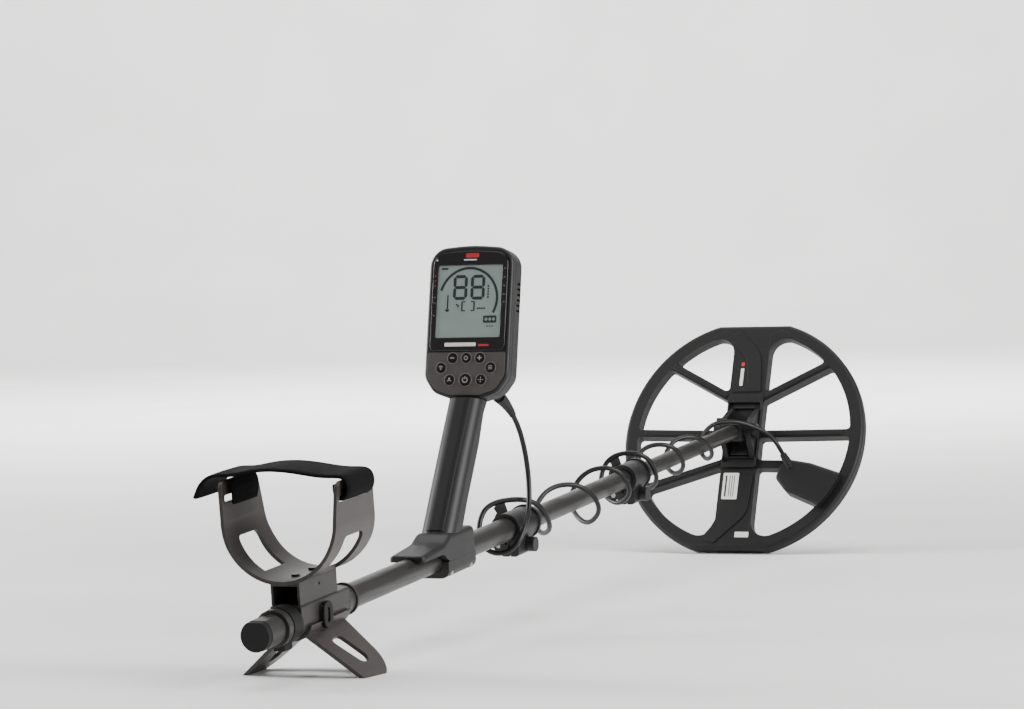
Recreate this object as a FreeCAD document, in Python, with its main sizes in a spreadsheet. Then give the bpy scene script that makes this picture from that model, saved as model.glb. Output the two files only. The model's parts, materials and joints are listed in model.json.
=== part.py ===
import FreeCAD, Part
import math
import os

import Sketcher
from FreeCAD import Placement, Rotation, Vector

# A hand-held metal detector on a telescopic shaft, in millimetres.
#
# Every sub-part is drawn in the shaft's own frame: X runs forward along the tubes from the rear end,
# Y is the user's left and Z is up from the shaft. Three assemblies have frames of their own, which
# lean with the grip, the control pod and the search coil. At the end one placement stands the whole
# detector on its stand feet and the coil's lower edge, with Z up and the origin in the middle of its
# footprint.

DIMENSIONS = [
    # alias, value, what it measures
    ("upper_outer", 22.0, "outer diameter of the upper tube"),
    ("upper_inner", 20.0, "bore of the upper tube"),
    ("middle_outer", 19.4, "outer diameter of the middle tube"),
    ("middle_inner", 17.6, "bore of the middle tube"),
    ("lower_outer", 17.0, "outer diameter of the lower tube"),
    ("lower_inner", 14.6, "bore of the lower tube"),
    ("upper_start", 6.0, "rear end of the upper tube"),
    ("upper_length", 553.0, "length of the upper tube"),
    ("middle_start", 300.0, "rear end of the middle tube"),
    ("middle_length", 572.0, "length of the middle tube"),
    ("lower_start", 610.0, "rear end of the lower tube"),
    ("lower_length", 582.0, "length of the lower tube"),
    ("upper_lock_start", 527.0, "rear face of the upper cam lock"),
    ("lower_lock_start", 843.0, "rear face of the lower cam lock"),
    ("lock_length", 52.0, "length of the upper lock's collar"),
    ("lower_lock_length", 42.0, "length of the lower lock's collar"),
    ("lock_outer", 30.0, "outer diameter of a lock's collar"),
    ("fit_gap", 0.1, "radial gap where a clamped part sits on its tube"),
    ("slide_gap", 0.3, "radial gap round a tube that slides"),
    ("coil_radius", 140.0, "radius of the search coil"),
    ("coil_flat", 133.7, "distance of the coil's two flats from its centre"),
    ("rim_width", 15.0, "width of the coil's rim"),
    ("shell_height", 12.5, "height of the coil's shell"),
    ("skid_height", 2.5, "thickness of the skid plate under the coil"),
    ("coil_lean", 61.9, "angle of the coil's plane from the shaft, degrees"),
    ("pivot_station", 1213.0, "station of the coil's pivot along the shaft"),
    ("pivot_height", 25.7, "height of the pivot over the middle of the coil's shell"),
    ("ear_gap", 24.6, "width between the coil's two ears"),
    ("ear_width", 6.0, "thickness of an ear"),
    ("knuckle_width", 20.0, "width of the knuckle at the end of the lower tube"),
    ("pivot_bolt", 8.0, "diameter of the pivot bolt"),
    ("pod_lean", 74.4, "angle of the control pod's face from the shaft, degrees"),
    ("pod_station", 471.7, "station of the display's centre"),
    ("pod_height", 220.7, "height of the display's centre over the shaft"),
    ("pod_width", 83.0, "width of the control pod"),
    ("pod_depth", 28.0, "depth of the control pod"),
    ("pod_wall", 2.2, "wall of the pod's shells"),
    ("front_depth", 8.0, "depth of the pod's front shell"),
    ("gasket_depth", 1.0, "thickness of the seal between the pod's shells"),
    ("display_width", 63.0, "width of the display"),
    ("display_length", 67.0, "length of the display"),
    ("button_cap", 8.6, "diameter of a button's cap"),
    ("large_cap", 10.6, "diameter of the power button's cap"),
    ("button_gap", 0.35, "radial gap round a button"),
    ("button_rise", 1.2, "height of a button over the keypad"),
    ("button_travel", 0.8, "how far a button goes in"),
    ("grip_lean", 55.3, "angle of the grip from the shaft, degrees"),
    ("grip_station", 366.0, "station where the grip's axis meets the shaft"),
    ("grip_length", 172.0, "length of the grip along its axis"),
    ("grip_width", 32.0, "width of the grip"),
    ("grip_hollow", 21.0, "width of the hollow for the battery cell"),
    ("cell_width", 18.5, "diameter of the battery cell"),
    ("cell_length", 65.0, "length of the battery cell"),
    ("cuff_radius", 52.0, "outer radius of the arm cuff"),
    ("cuff_wall", 3.0, "wall of the arm cuff"),
    ("cuff_floor", 32.0, "height of the cuff's lowest point over the shaft's axis"),
    ("cuff_top", 116.0, "height of the cuff's two arms"),
    ("cuff_start", 52.0, "rear edge of the cuff's floor"),
    ("cuff_length", 80.0, "length of the cuff's floor"),
    ("saddle_radius", 14.0, "half width of the armrest's saddle"),
    ("strap_width", 52.0, "width of the arm strap"),
    ("strap_thickness", 3.0, "thickness of the arm strap"),
    ("leg_thickness", 3.2, "thickness of a stand leg"),
    ("leg_slope", 40.0, "slope of a stand leg below level, degrees"),
    ("cable_width", 5.0, "diameter of the coil's cable"),
    ("standing_pitch", 4.4, "how far the shaft rises towards the coil, degrees"),
    ("standing_height", 42.7, "height of the shaft's rear end over the ground"),
    ("standing_reach", 646.13, "distance of the shaft's rear end behind the origin"),
]

doc = FreeCAD.newDocument("MetalDetector")
sheet = doc.addObject("Spreadsheet::Sheet", "dims")
for line, (alias, value, meaning) in enumerate(DIMENSIONS, start=1):
    sheet.set(f"A{line}", meaning)
    sheet.set(f"B{line}", str(value))
    sheet.setAlias(f"B{line}", alias)
doc.recompute()


def size(alias):
    """The number in one cell of the sheet."""
    return float(sheet.get(alias))


X, Y, Z = Vector(1, 0, 0), Vector(0, 1, 0), Vector(0, 0, 1)
LEVEL = Placement()
nodes = []  # (object, its frame) for every sub-part


def leaning(angle, station, height):
    """A frame that leans back from the shaft by an angle, with X up the lean and Z out of its face."""
    return Placement(Vector(station, 0, height), Rotation(Y, -angle))


def keep(label, item, frame=LEVEL):
    """Names a finished sub-part, which is then written to a file of that name."""
    item.Label = label
    nodes.append((item, frame))
    return item


# --- Shapes -------------------------------------------------------------------------------------


def cylinder(name, diameter, length, base, axis):
    """A cylinder from its base point along an axis; diameter and length are expressions."""
    item = doc.addObject("Part::Cylinder", name)
    item.setExpression("Radius", f"({diameter}) / 2")
    item.setExpression("Height", length)
    item.Placement = Placement(Vector(*base), Rotation(Z, axis))
    return item


def cone(name, low, high, length, base, axis):
    """A cone from diameter low at its base point to diameter high."""
    item = doc.addObject("Part::Cone", name)
    item.setExpression("Radius1", f"({low}) / 2")
    item.setExpression("Radius2", f"({high}) / 2")
    item.setExpression("Height", length)
    item.Placement = Placement(Vector(*base), Rotation(Z, axis))
    return item


def box(name, low, high):
    """A box between two corners."""
    item = doc.addObject("Part::Box", name)
    item.Length, item.Width, item.Height = (high[i] - low[i] for i in range(3))
    item.Placement.Base = Vector(*low)
    return item


def fuse(name, *parts):
    item = doc.addObject("Part::MultiFuse", name)
    item.Shapes = list(parts)
    return item


def cut(name, base, *tools):
    item = doc.addObject("Part::Cut", name)
    item.Base = base
    item.Tool = tools[0] if len(tools) == 1 else fuse(f"{name}_tools", *tools)
    return item


def common(name, base, tool):
    item = doc.addObject("Part::Common", name)
    item.Base = base
    item.Tool = tool
    return item


def rounded(corners):
    """The lines and arcs of a closed outline. A corner is (across, up) or (across, up, its radius)."""
    points = [Vector(c[0], c[1], 0) for c in corners]
    radii = [c[2] if len(c) > 2 else 0 for c in corners]
    count, starts, ends, arcs = len(points), [], [], []
    for i, (corner, radius) in enumerate(zip(points, radii)):
        before = (points[i - 1] - corner).normalize()
        after = (points[(i + 1) % count] - corner).normalize()
        half = before.getAngle(after) / 2
        reach = radius / math.tan(half)
        starts.append(corner + before * reach)
        ends.append(corner + after * reach)
        middle = (before + after).normalize() if radius else before
        heart = corner + middle * (radius / math.sin(half))
        arcs.append(heart - middle * radius)
    edges = []
    for i in range(count):
        if radii[i]:
            edges.append(Part.Arc(starts[i], arcs[i], ends[i]))
        if ends[i].distanceToPoint(starts[(i + 1) % count]) > 1e-6:
            edges.append(Part.LineSegment(ends[i], starts[(i + 1) % count]))
    return edges


def circle(across, up, radius):
    return [Part.Circle(Vector(across, up, 0), Z, radius)]


def prism(name, plane, outlines, start, length, symmetric=False):
    """A PartDesign body: outlines on one of its origin planes, padded by an expression."""
    body = doc.addObject("PartDesign::Body", name)
    sketch = body.newObject("Sketcher::SketchObject", f"{name}_sketch")
    support = next(f for f in body.Origin.OriginFeatures if f.Role == f"{plane}_Plane")
    sketch.AttachmentSupport = (support, [""])
    sketch.MapMode = "FlatFace"
    # The XZ plane faces -Y, so a start on it counts the other way.
    way = -1 if plane == "XZ" else 1
    sketch.AttachmentOffset = Placement(Vector(0, 0, way * start), Rotation())
    for outline in outlines:
        for edge in outline:
            sketch.addConstraint(Sketcher.Constraint("Block", sketch.addGeometry(edge)))
    pad = body.newObject("PartDesign::Pad", f"{name}_pad")
    pad.Profile = sketch
    pad.setExpression("Length", length)
    if symmetric:
        pad.SideType = "Symmetric"
    elif plane == "XZ":
        pad.Reversed = True
    sketch.Visibility = False
    return body


def edges_of(item, wanted):
    """The names of an object's edges that a test accepts; the test gets the edge's box and shape."""
    doc.recompute()
    return [
        f"Edge{i}"
        for i, edge in enumerate(item.Shape.Edges, start=1)
        if wanted(edge.BoundBox, edge)
    ]


def soften(body, radius, wanted):
    """Rounds the edges of a PartDesign body that a test accepts."""
    base = body.Tip
    names = edges_of(base, wanted)
    fillet = body.newObject("PartDesign::Fillet", f"{body.Name}_round{len(body.Group)}")
    fillet.Base = (base, names)
    fillet.setExpression("Radius", radius)
    body.Tip = fillet
    doc.recompute()
    return body


def flat_at(axis, level):
    """A test for edges that lie in the plane where one coordinate has a value."""
    low, high = f"{axis}Min", f"{axis}Max"
    return lambda b, e: abs(getattr(b, low) - level) < 1e-4 and abs(getattr(b, high) - level) < 1e-4


# --- Tubes --------------------------------------------------------------------------------------


def tube(label, kind):
    """One stage of the telescopic shaft, from the cells that begin with its name."""
    start = size(f"{kind}_start")
    outer = cylinder(f"{label}_outer", f"dims.{kind}_outer", f"dims.{kind}_length", (start, 0, 0), X)
    bore = cylinder(
        f"{label}_bore", f"dims.{kind}_inner", f"dims.{kind}_length + 2", (start - 1, 0, 0), X
    )
    return keep(label, cut(f"{label}_wall", outer, bore))


def bush(label, outer, inner, start, length):
    """A thin bearing ring between two stages."""
    ring = cylinder(f"{label}_ring", outer, length, (start, 0, 0), X)
    bore = cylinder(f"{label}_bore", inner, f"{length} + 2", (start - 1, 0, 0), X)
    return keep(label, cut(f"{label}_cut", ring, bore))


tube("upper_tube", "upper")
tube("middle_tube", "middle")
tube("lower_tube", "lower")

# A bearing ring round the rear end of each inner stage rides in the stage outside it. The ring
# stands behind the tube's end and a spigot of it holds the tube.
for stage, outer_stage in (("middle", "upper"), ("lower", "middle")):
    rear = size(f"{stage}_start") - 12
    ring = cylinder(
        f"{stage}_glide_ring",
        f"dims.{outer_stage}_inner - 2 * dims.slide_gap / 3",
        "12",
        (rear, 0, 0),
        X,
    )
    spigot = cylinder(
        f"{stage}_glide_spigot", f"dims.{stage}_inner - 2 * dims.fit_gap", "26", (rear, 0, 0), X
    )
    way = cylinder(f"{stage}_glide_way", f"dims.{stage}_inner - 3.6", "30", (rear - 2, 0, 0), X)
    keep(f"{stage}_tube_glide", cut(f"{stage}_glide", fuse(f"{stage}_glide_body", ring, spigot), way))

# --- Cam locks ----------------------------------------------------------------------------------

# The lever's pin lies beside the collar's ears, to the lower left of the tubes.
LEVER_PIN = (16.2, -18.5)
LEVER_LENGTH = 22.0
LEVER_INNER, LEVER_OUTER = 16.4, 20.4


def polar(radius, angle):
    """A point of the YZ plane at an angle up from +Y."""
    return radius * math.cos(math.radians(angle)), radius * math.sin(math.radians(angle))


def cam_lock(kind, stage, inner_stage, length_alias, setback):
    """A split collar, the bolt that draws its ears together, and the lever that pulls the bolt."""
    start, length = size(f"{kind}_lock_start"), size(length_alias)
    step = size(f"{stage}_start") + size(f"{stage}_length")
    barrel = cylinder(f"{kind}_lock_barrel", "dims.lock_outer", f"dims.{length_alias}", (start, 0, 0), X)
    lip = cylinder(f"{kind}_lock_lip", "dims.lock_outer + 3", "4", (start + length - 5, 0, 0), X)
    ears = prism(
        f"{kind}_lock_ears",
        "YZ",
        [rounded([(-9.5, -8), (-9.5, -27, 4), (9.5, -27, 4), (9.5, -8)])],
        start + 8,
        f"dims.{length_alias} - 14",
    )
    grip = cylinder(
        f"{kind}_lock_grip",
        f"dims.{stage}_outer + 2 * dims.fit_gap",
        str(step - start + 2),
        (start - 2, 0, 0),
        X,
    )
    pass_through = cylinder(
        f"{kind}_lock_pass",
        f"dims.{inner_stage}_outer + 2 * dims.slide_gap",
        f"dims.{length_alias} + 4",
        (start - 2, 0, 0),
        X,
    )
    slit = box(f"{kind}_lock_slit", (start - 1, -1.2, -30), (start + length - 9, 1.2, -7))
    middle = start + setback + LEVER_LENGTH / 2
    eye = cylinder(f"{kind}_lock_eye", "5.4", "40", (middle, -20, LEVER_PIN[1]), Y)
    collar = cut(
        f"{kind}_lock_collar_cut", fuse(f"{kind}_lock_solid", barrel, lip, ears), grip, pass_through, slit, eye
    )
    keep(f"{kind}_lock_collar", collar)

    # The bolt runs from a round nut on the right to a cross pin inside the lever.
    shank = cylinder(f"{kind}_lock_shank", "4.4", str(LEVER_PIN[0] + 15), (middle, -15, LEVER_PIN[1]), Y)
    pin = cylinder(
        f"{kind}_lock_pin", "5", str(LEVER_LENGTH), (middle - LEVER_LENGTH / 2, *LEVER_PIN), X
    )
    keep(f"{kind}_lock_bolt", fuse(f"{kind}_lock_tee", shank, pin))
    nut = cylinder(f"{kind}_lock_nut_body", "14", "8", (middle, -17.8, LEVER_PIN[1]), Y)
    nut_bore = cylinder(f"{kind}_lock_nut_bore", "4.45", "5.5", (middle, -15.2, LEVER_PIN[1]), Y)
    keep(f"{kind}_lock_nut", cut(f"{kind}_lock_nut_cut", nut, nut_bore))

    # The lever hugs the collar's left side and ends in a flared tip.
    back = middle - LEVER_LENGTH / 2
    hub = prism(f"{kind}_lever_hub", "YZ", [circle(*LEVER_PIN, 5.6)], back, str(LEVER_LENGTH))
    inner = [polar(LEVER_INNER, a) for a in (-46, -5, 36)]
    outer = [polar(LEVER_OUTER, a) for a in (38, -5, -52)]
    tip_low, tip_high = polar(LEVER_INNER + 9, 42), polar(LEVER_INNER + 9.5, 50)
    arm_outline = [
        Part.Arc(*(Vector(*p, 0) for p in inner)),
        Part.LineSegment(Vector(*inner[-1], 0), Vector(*tip_high, 0)),
        Part.LineSegment(Vector(*tip_high, 0), Vector(*tip_low, 0)),
        Part.LineSegment(Vector(*tip_low, 0), Vector(*outer[0], 0)),
        Part.Arc(*(Vector(*p, 0) for p in outer)),
        Part.LineSegment(Vector(*outer[-1], 0), Vector(*inner[0], 0)),
    ]
    arm = prism(f"{kind}_lever_arm", "YZ", [arm_outline], back, str(LEVER_LENGTH))
    bolt_way = box(f"{kind}_lever_way", (middle - 4, 7, -32), (middle + 4, 30, -12.5))
    pin_way = cylinder(f"{kind}_lever_bore", "5.1", "30", (middle - 15, *LEVER_PIN), X)
    lever = cut(f"{kind}_lever_cut", fuse(f"{kind}_lever_solid", hub, arm), bolt_way, pin_way)
    keep(f"{kind}_lock_lever", lever)


cam_lock("upper", "upper", "middle", "lock_length", 20)
cam_lock("lower", "middle", "lower", "lower_lock_length", 14)

# --- Armrest and stand --------------------------------------------------------------------------

SADDLE = size("saddle_radius")
BORE_ON_UPPER = "dims.upper_outer + 2 * dims.fit_gap"

plug_disc = cylinder("end_cap_disc", "25.6", "6", (0, 0, 0), X)
plug_spigot = cylinder("end_cap_spigot", "dims.upper_inner - 2 * dims.fit_gap", "16", (5, 0, 0), X)
disc_top = box("end_cap_flat", (-1, -20, 11.2), (8, 20, 20))
keep("end_cap", cut("end_cap_cut", fuse("end_cap_solid", plug_disc, plug_spigot), disc_top))

sleeve = cylinder("saddle_sleeve", "26.4", "22", (6, 0, 0), X)
sleeve_flat = box("saddle_flat", (-1, -20, 11.6), (28, 20, 20))
neck = cylinder("saddle_neck", "24.4", "40", (27, 0, 0), X)
flange = cylinder("saddle_flange", "31", "8", (32, 0, 0), X)
trough = prism(
    "saddle_trough",
    "YZ",
    [
        rounded(
            [
                (-SADDLE, SADDLE, 2),
                (-SADDLE, -SADDLE, SADDLE - 0.01),
                (SADDLE, -SADDLE, SADDLE - 0.01),
                (SADDLE, SADDLE, 2),
            ]
        )
    ],
    58,
    "92",
)
saddle_bore = cylinder("saddle_bore", BORE_ON_UPPER, "160", (4, 0, 0), X)
saddle_solid = fuse("saddle_solid", cut("saddle_sleeve_cut", sleeve, sleeve_flat), neck, flange, trough)
keep("armrest_saddle", cut("saddle_cut", saddle_solid, saddle_bore))

# The rear clamp ring sits on the saddle's neck, and the front collar closes the saddle on the tube.
ring_body = cylinder("clamp_ring_body", "32", "16", (41, 0, 0), X)
ring_lug = box("clamp_ring_lug", (42, -5, -20), (56, 5, -13))
ring_bore = cylinder("clamp_ring_bore", "24.6", "24", (38, 0, 0), X)
keep("armrest_clamp_ring", cut("clamp_ring_cut", fuse("clamp_ring_solid", ring_body, ring_lug), ring_bore))

collar_cone = cone("front_collar_cone", "28", "25", "15", (151, 0, 0), X)
collar_lip = cylinder("front_collar_lip", "28.4", "3", (166, 0, 0), X)
collar_bore = cylinder("front_collar_bore", BORE_ON_UPPER, "30", (145, 0, 0), X)
keep(
    "armrest_front_collar",
    cut("front_collar_cut", fuse("front_collar_solid", collar_cone, collar_lip), collar_bore),
)

# The riser is a box open to the rear, with a cross hole near its top.
CUFF_START, CUFF_END = size("cuff_start"), size("cuff_start") + size("cuff_length")
CUFF_CENTRE = size("cuff_floor") + size("cuff_radius")
riser_block = box("riser_block", (59, -13, SADDLE + 0.1), (CUFF_END - 2, 13, 40))
riser_hollow = box("riser_hollow", (50, -11, 15), (CUFF_END - 14, 11, 30))
riser_hole = cylinder("riser_hole", "2.8", "40", (96, -20, 26.5), Y)
riser_seat = cylinder("riser_seat", "2 * dims.cuff_radius + 0.2", "120", (40, 0, CUFF_CENTRE), X)
keep("armrest_riser", cut("riser_cut", riser_block, riser_hollow, riser_hole, riser_seat))

# The cuff is a half ring with two upright arms, seen from behind as a U.
CUFF_OUT, CUFF_IN = size("cuff_radius"), size("cuff_radius") - size("cuff_wall")
TOP = size("cuff_top")
cuff_corners = [
    Vector(y, z, 0)
    for y, z in (
        (-CUFF_OUT, CUFF_CENTRE),
        (CUFF_OUT, CUFF_CENTRE),
        (CUFF_OUT + 2, TOP),
        (CUFF_IN + 2, TOP),
        (CUFF_IN, CUFF_CENTRE),
        (-CUFF_IN, CUFF_CENTRE),
        (-CUFF_IN - 2, TOP),
        (-CUFF_OUT - 2, TOP),
    )
]
cuff_outline = [Part.LineSegment(a, b) for a, b in zip(cuff_corners, cuff_corners[1:] + cuff_corners[:1])]
cuff_outline[0] = Part.Arc(cuff_corners[0], Vector(0, size("cuff_floor"), 0), cuff_corners[1])
cuff_outline[4] = Part.Arc(cuff_corners[4], Vector(0, CUFF_CENTRE - CUFF_IN, 0), cuff_corners[5])
cuff_shell = prism("cuff_shell", "YZ", [cuff_outline], CUFF_START, "dims.cuff_length")
# From the side the cuff narrows towards the tops of its arms, which have round corners.
side_outline = rounded(
    [
        (CUFF_START, size("cuff_floor") - 2),
        (CUFF_END, size("cuff_floor") - 2),
        (CUFF_END, 62, 60),
        (CUFF_END - 9, TOP, 8),
        (CUFF_START + 4, TOP, 8),
        (CUFF_START, 62, 60),
    ]
)
cuff_side = prism("cuff_side", "XZ", [side_outline], 0, "4 * dims.cuff_radius", symmetric=True)
# A slanted window in each lower flank, and a slot for the strap under the top of each arm.
window_side = prism(
    "cuff_window_side",
    "XZ",
    [rounded([(71, 36, 4), (108, 36, 4), (111, 69, 7), (74, 69, 4)])],
    0,
    "4 * dims.cuff_radius",
    symmetric=True,
)
window_middle = box("cuff_window_keep", (60, -23, 20), (120, 23, 90))
windows = cut("cuff_windows", window_side, window_middle)
strap_slot = prism(
    "cuff_strap_slot",
    "XZ",
    [rounded([(60, 98.6, 2.4), (117, 98.6, 2.4), (117, 104.4, 2.4), (60, 104.4, 2.4)])],
    0,
    "4 * dims.cuff_radius",
    symmetric=True,
)
cuff = cut("cuff_cut", common("cuff_blank", cuff_shell, cuff_side), windows, strap_slot)
keep("arm_cuff", cuff)

# Two screws hold the cuff on the riser, and one holds the stand under the saddle.
screw_heads = [
    cylinder(f"cuff_screw_head{i}", "7", "1.6", (x, 0, size("cuff_floor") + size("cuff_wall") + 0.2), Z)
    for i, x in enumerate((80, 112))
]
stand_screw = cylinder("stand_screw_head", "8", "2.4", (128, 0, -SADDLE - 5.7), Z)
keep("armrest_screws", fuse("armrest_screws_three", *screw_heads, stand_screw))

# The strap: an arch over the arm, a fold round the top of the right arm and a free tail on the left.
STRAP_START = 62.0


def ribbon(centre, thickness):
    """The closed outline of a band that follows a line in the YZ plane."""
    left, right = [], []
    for i, point in enumerate(centre):
        before, after = centre[max(i - 1, 0)], centre[min(i + 1, len(centre) - 1)]
        along = Vector(after[0] - before[0], after[1] - before[1], 0).normalize()
        side = Vector(-along.y, along.x, 0) * (thickness / 2)
        left.append(Vector(*point, 0) + side)
        right.append(Vector(*point, 0) - side)
    ring = left + right[::-1]
    return [Part.LineSegment(a, b) for a, b in zip(ring, ring[1:] + ring[:1])]


STRAP_LINE = [
    (80, 102), (75.5, 111), (69, 117.5), (60, 120.3), (50, 120), (40, 121.2), (28, 123.8), (14, 125),
    (0, 124.6), (-14, 122.9), (-28, 120.6), (-40, 119.4), (-50, 119.6), (-56.6, 118), (-59.4, 112),
    (-58.6, 105.4), (-54.6, 101.4), (-49, 101.5), (-46.6, 106), (-46, 112.6),
]
strap = prism(
    "strap_band",
    "YZ",
    [ribbon(STRAP_LINE, size("strap_thickness"))],
    STRAP_START,
    "dims.strap_width",
)
keep("arm_strap", strap)

# The stand: a clip under the saddle and two splayed legs with a long window each.
CLIP_OUT, CLIP_IN = SADDLE + 3.2, SADDLE + 0.15


def channel(name, half, top, start, length):
    """A bar along the shaft with a round bottom, as wide as two halves and open to its flat top."""
    outline = rounded([(-half, top), (-half, -half, half - 0.1), (half, -half, half - 0.1), (half, top)])
    return prism(name, "YZ", [outline], start, length)


clip = channel("stand_clip", CLIP_OUT, 9, 70, "76")
# Only a short hook of the clip reaches up past the tube; the rest ends under it.
clip_trims = [
    box(f"stand_clip_trim{i}", (start, -30, -4), (end, 30, 30))
    for i, (start, end) in enumerate([(60, 92), (106, 160)])
]
LEG_SLOPE = size("leg_slope")


def leg(side):
    """One leg, drawn flat and turned down to its slope; side is 1 for the left and -1 for the right."""
    outline = rounded([(72, 0), (144, 0), (136, 64, 34), (84, 64, 8)])
    window = rounded([(93, 12, 5), (113, 12, 5), (121, 44, 7), (104, 44, 7)])
    name = f"stand_leg_{'left' if side > 0 else 'right'}"
    plate = prism(name, "XY", [outline, window], -size("leg_thickness") / 2, "dims.leg_thickness")
    turn = Rotation(X, -LEG_SLOPE) if side > 0 else Rotation(X, LEG_SLOPE - 180)
    plate.Placement = Placement(Vector(0, side * 10.5, -13.2), turn)
    return plate


pitch = size("standing_pitch")
standing = Placement(
    Vector(-size("standing_reach"), 0, size("standing_height")), Rotation(Y, -pitch)
)
ground = box("ground", (-900, -200, -80), (900, 200, 0))
ground.Placement = standing.inverse().multiply(ground.Placement)
clip_way = channel("stand_way", CLIP_IN, 30, 60, "100")
stand_solid = fuse("stand_solid", cut("stand_clip_cut", clip, *clip_trims), leg(1), leg(-1))
keep("stand", cut("stand_cut", stand_solid, clip_way, ground))

# --- Grip ---------------------------------------------------------------------------------------

grip_frame = leaning(size("grip_lean"), size("grip_station"), 0)
GRIP = size("grip_width") / 2
# Seen from the side, the grip swells a little in the middle and has a finger stop near its top.
grip_side = rounded(
    [
        (-6, -GRIP - 1),
        (60, -GRIP + 1.5, 120),
        (120, -GRIP, 60),
        (150, -GRIP + 3, 20),
        (size("grip_length"), -GRIP - 2),
        (size("grip_length"), GRIP - 2),
        (90, GRIP, 200),
        (-6, GRIP + 1),
    ]
)
grip_body = prism("grip_body", "XZ", [grip_side], 0, "dims.grip_width", symmetric=True)
soften(grip_body, "11.5", lambda b, e: b.XLength > 20 and b.YLength < 1e-4)
grip_body.Placement = grip_frame
base_side = rounded(
    [
        (300, 8), (300, 13.5, 2), (346, 17, 30), (360, 23.5, 10), (416, 23.5, 6), (416, -0.2),
        (356, -0.2), (344, 8, 6),
    ]
)
base_block = prism("grip_base", "XZ", [base_side], 0, "34", symmetric=True)
soften(base_block, "4", lambda b, e: b.YLength < 1e-4 and b.ZMin > 12)
tube_way = cylinder("grip_tube_way", BORE_ON_UPPER, "200", (280, 0, 0), X)
below = box("grip_below", (250, -40, -60), (500, 40, -0.1))
# The cell's hollow, and the pod's chin, where the grip ends.
POD_CHIN = 89.85  # distance of the chin from the display's centre
hollow = box("grip_hollow", (24, -size("grip_hollow") / 2, -size("grip_hollow") / 2),
             (150, size("grip_hollow") / 2, size("grip_hollow") / 2))
hollow.Placement = grip_frame.multiply(hollow.Placement)
pod_frame = leaning(size("pod_lean"), size("pod_station"), size("pod_height"))
pod_clear = box("grip_pod_clear", (-POD_CHIN, -60, -120), (60, 60, 80))
pod_clear.Placement = pod_frame.multiply(pod_clear.Placement)
grip_solid = fuse("grip_solid", grip_body, base_block)
whole_grip = cut("grip_whole", grip_solid, tube_way, below, hollow, pod_clear)
for side, low, high in (("left", 0.02, 60), ("right", -60, -0.02)):
    half = box(f"grip_{side}_half", (200, low, -80), (600, high, 300))
    keep(f"grip_{side}_shell", common(f"grip_{side}", whole_grip, half))

# The soft strip down the back of the grip stands a little proud of it.
strip_side = rounded(
    [(20, 3), (158, 3), (158, GRIP - 0.2), (90, GRIP + 0.9, 200), (20, GRIP + 1.6)]
)
strip = prism("grip_strip_body", "XZ", [strip_side], 0, "dims.grip_width - 7", symmetric=True)
soften(strip, "9", lambda b, e: b.YLength < 1e-4 and b.ZMin > GRIP - 1)
strip.Placement = grip_frame
keep("grip_soft_strip", cut("grip_strip", strip, grip_solid, pod_clear))

cell = cylinder("cell_body", "dims.cell_width", "dims.cell_length", (60, 0, 0), X)
keep("battery_cell", fuse("cell_solid", cell, cylinder("cell_cap", "6", "1.2", (124.6, 0, 0), X)), grip_frame)

clamp_outline = rounded(
    [(-17, -0.3), (-17, -15.5, 8), (17, -15.5, 8), (17, -0.3)]
)
clamp_block = prism("grip_clamp_block", "YZ", [clamp_outline], 353, "62")
clamp_way = cylinder("grip_clamp_way", BORE_ON_UPPER, "80", (345, 0, 0), X)
screw_spots = [(x, y) for x in (362, 406) for y in (-14, 14)]
clamp_holes = []
for i, (x, y) in enumerate(screw_spots):
    clamp_holes.append(cylinder(f"clamp_hole{i}", "3.4", "20", (x, y, -19), Z))
    clamp_holes.append(cylinder(f"clamp_sink{i}", "6.4", "9", (x, y, -18.6), Z))
keep("grip_clamp", cut("grip_clamp_cut", clamp_block, clamp_way, *clamp_holes))
screws = []
for i, (x, y) in enumerate(screw_spots):
    screws.append(cylinder(f"clamp_screw_head{i}", "5.8", "3", (x, y, -12.8), Z))
    screws.append(cylinder(f"clamp_screw_shank{i}", "3", "10", (x, y, -10), Z))
keep("grip_clamp_screws", fuse("clamp_screws", *screws))

# --- Control pod --------------------------------------------------------------------------------

HALF = size("pod_width") / 2
POD_DEPTH, FRONT, SEAL, WALL = (size(a) for a in ("pod_depth", "front_depth", "gasket_depth", "pod_wall"))
FACE = -0.8  # the keypad's face, under the glass's level


def pod_outline(inset=0.0):
    """The pod's outline: a crowned top, straight sides and a tapered chin."""
    side, i = HALF - inset, inset
    return rounded(
        [
            (52.8 - i, 0, 160),
            (49.4 - i, side, 18 - i),
            (-70 + i * 0.4, side, 14),
            (-84 + i, 32 - i * 0.6, 16),
            (-89.8 + i, 15 - i * 0.4, 12),
            (-89.8 + i, -15 + i * 0.4, 12),
            (-84 + i, -32 + i * 0.6, 16),
            (-70 + i * 0.4, -side, 14),
            (49.4 - i, -side, 18 - i),
        ]
    )


rear_block = prism(
    "pod_rear_block", "XY", [pod_outline()], -POD_DEPTH, "dims.pod_depth - dims.front_depth - dims.gasket_depth"
)
soften(rear_block, "7", flat_at("Z", -POD_DEPTH))
rear_hollow = prism(
    "pod_rear_hollow", "XY", [pod_outline(WALL + 1)], -POD_DEPTH + WALL + 0.6, "dims.pod_depth"
)
SOCKET_AT = Vector(-74, -12, -21)
SOCKET_WAY = Vector(-0.2, 0, -1).normalize()
socket_hole = cylinder("pod_socket_hole", "11.2", "14", SOCKET_AT, SOCKET_WAY)
wire_hole = cylinder("pod_wire_hole", "8", "10", (-70, 0, -POD_DEPTH - 2), Z)
vents = [
    box(f"pod_vent{i}", (x, -HALF - 1, -22), (x + 2.2, -HALF + WALL + 2, -14))
    for i, x in enumerate((-8, -3, 2, 7, 12, 17))
]
keep("pod_rear_shell", cut("pod_rear", rear_block, rear_hollow, socket_hole, wire_hole, *vents), pod_frame)

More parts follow.
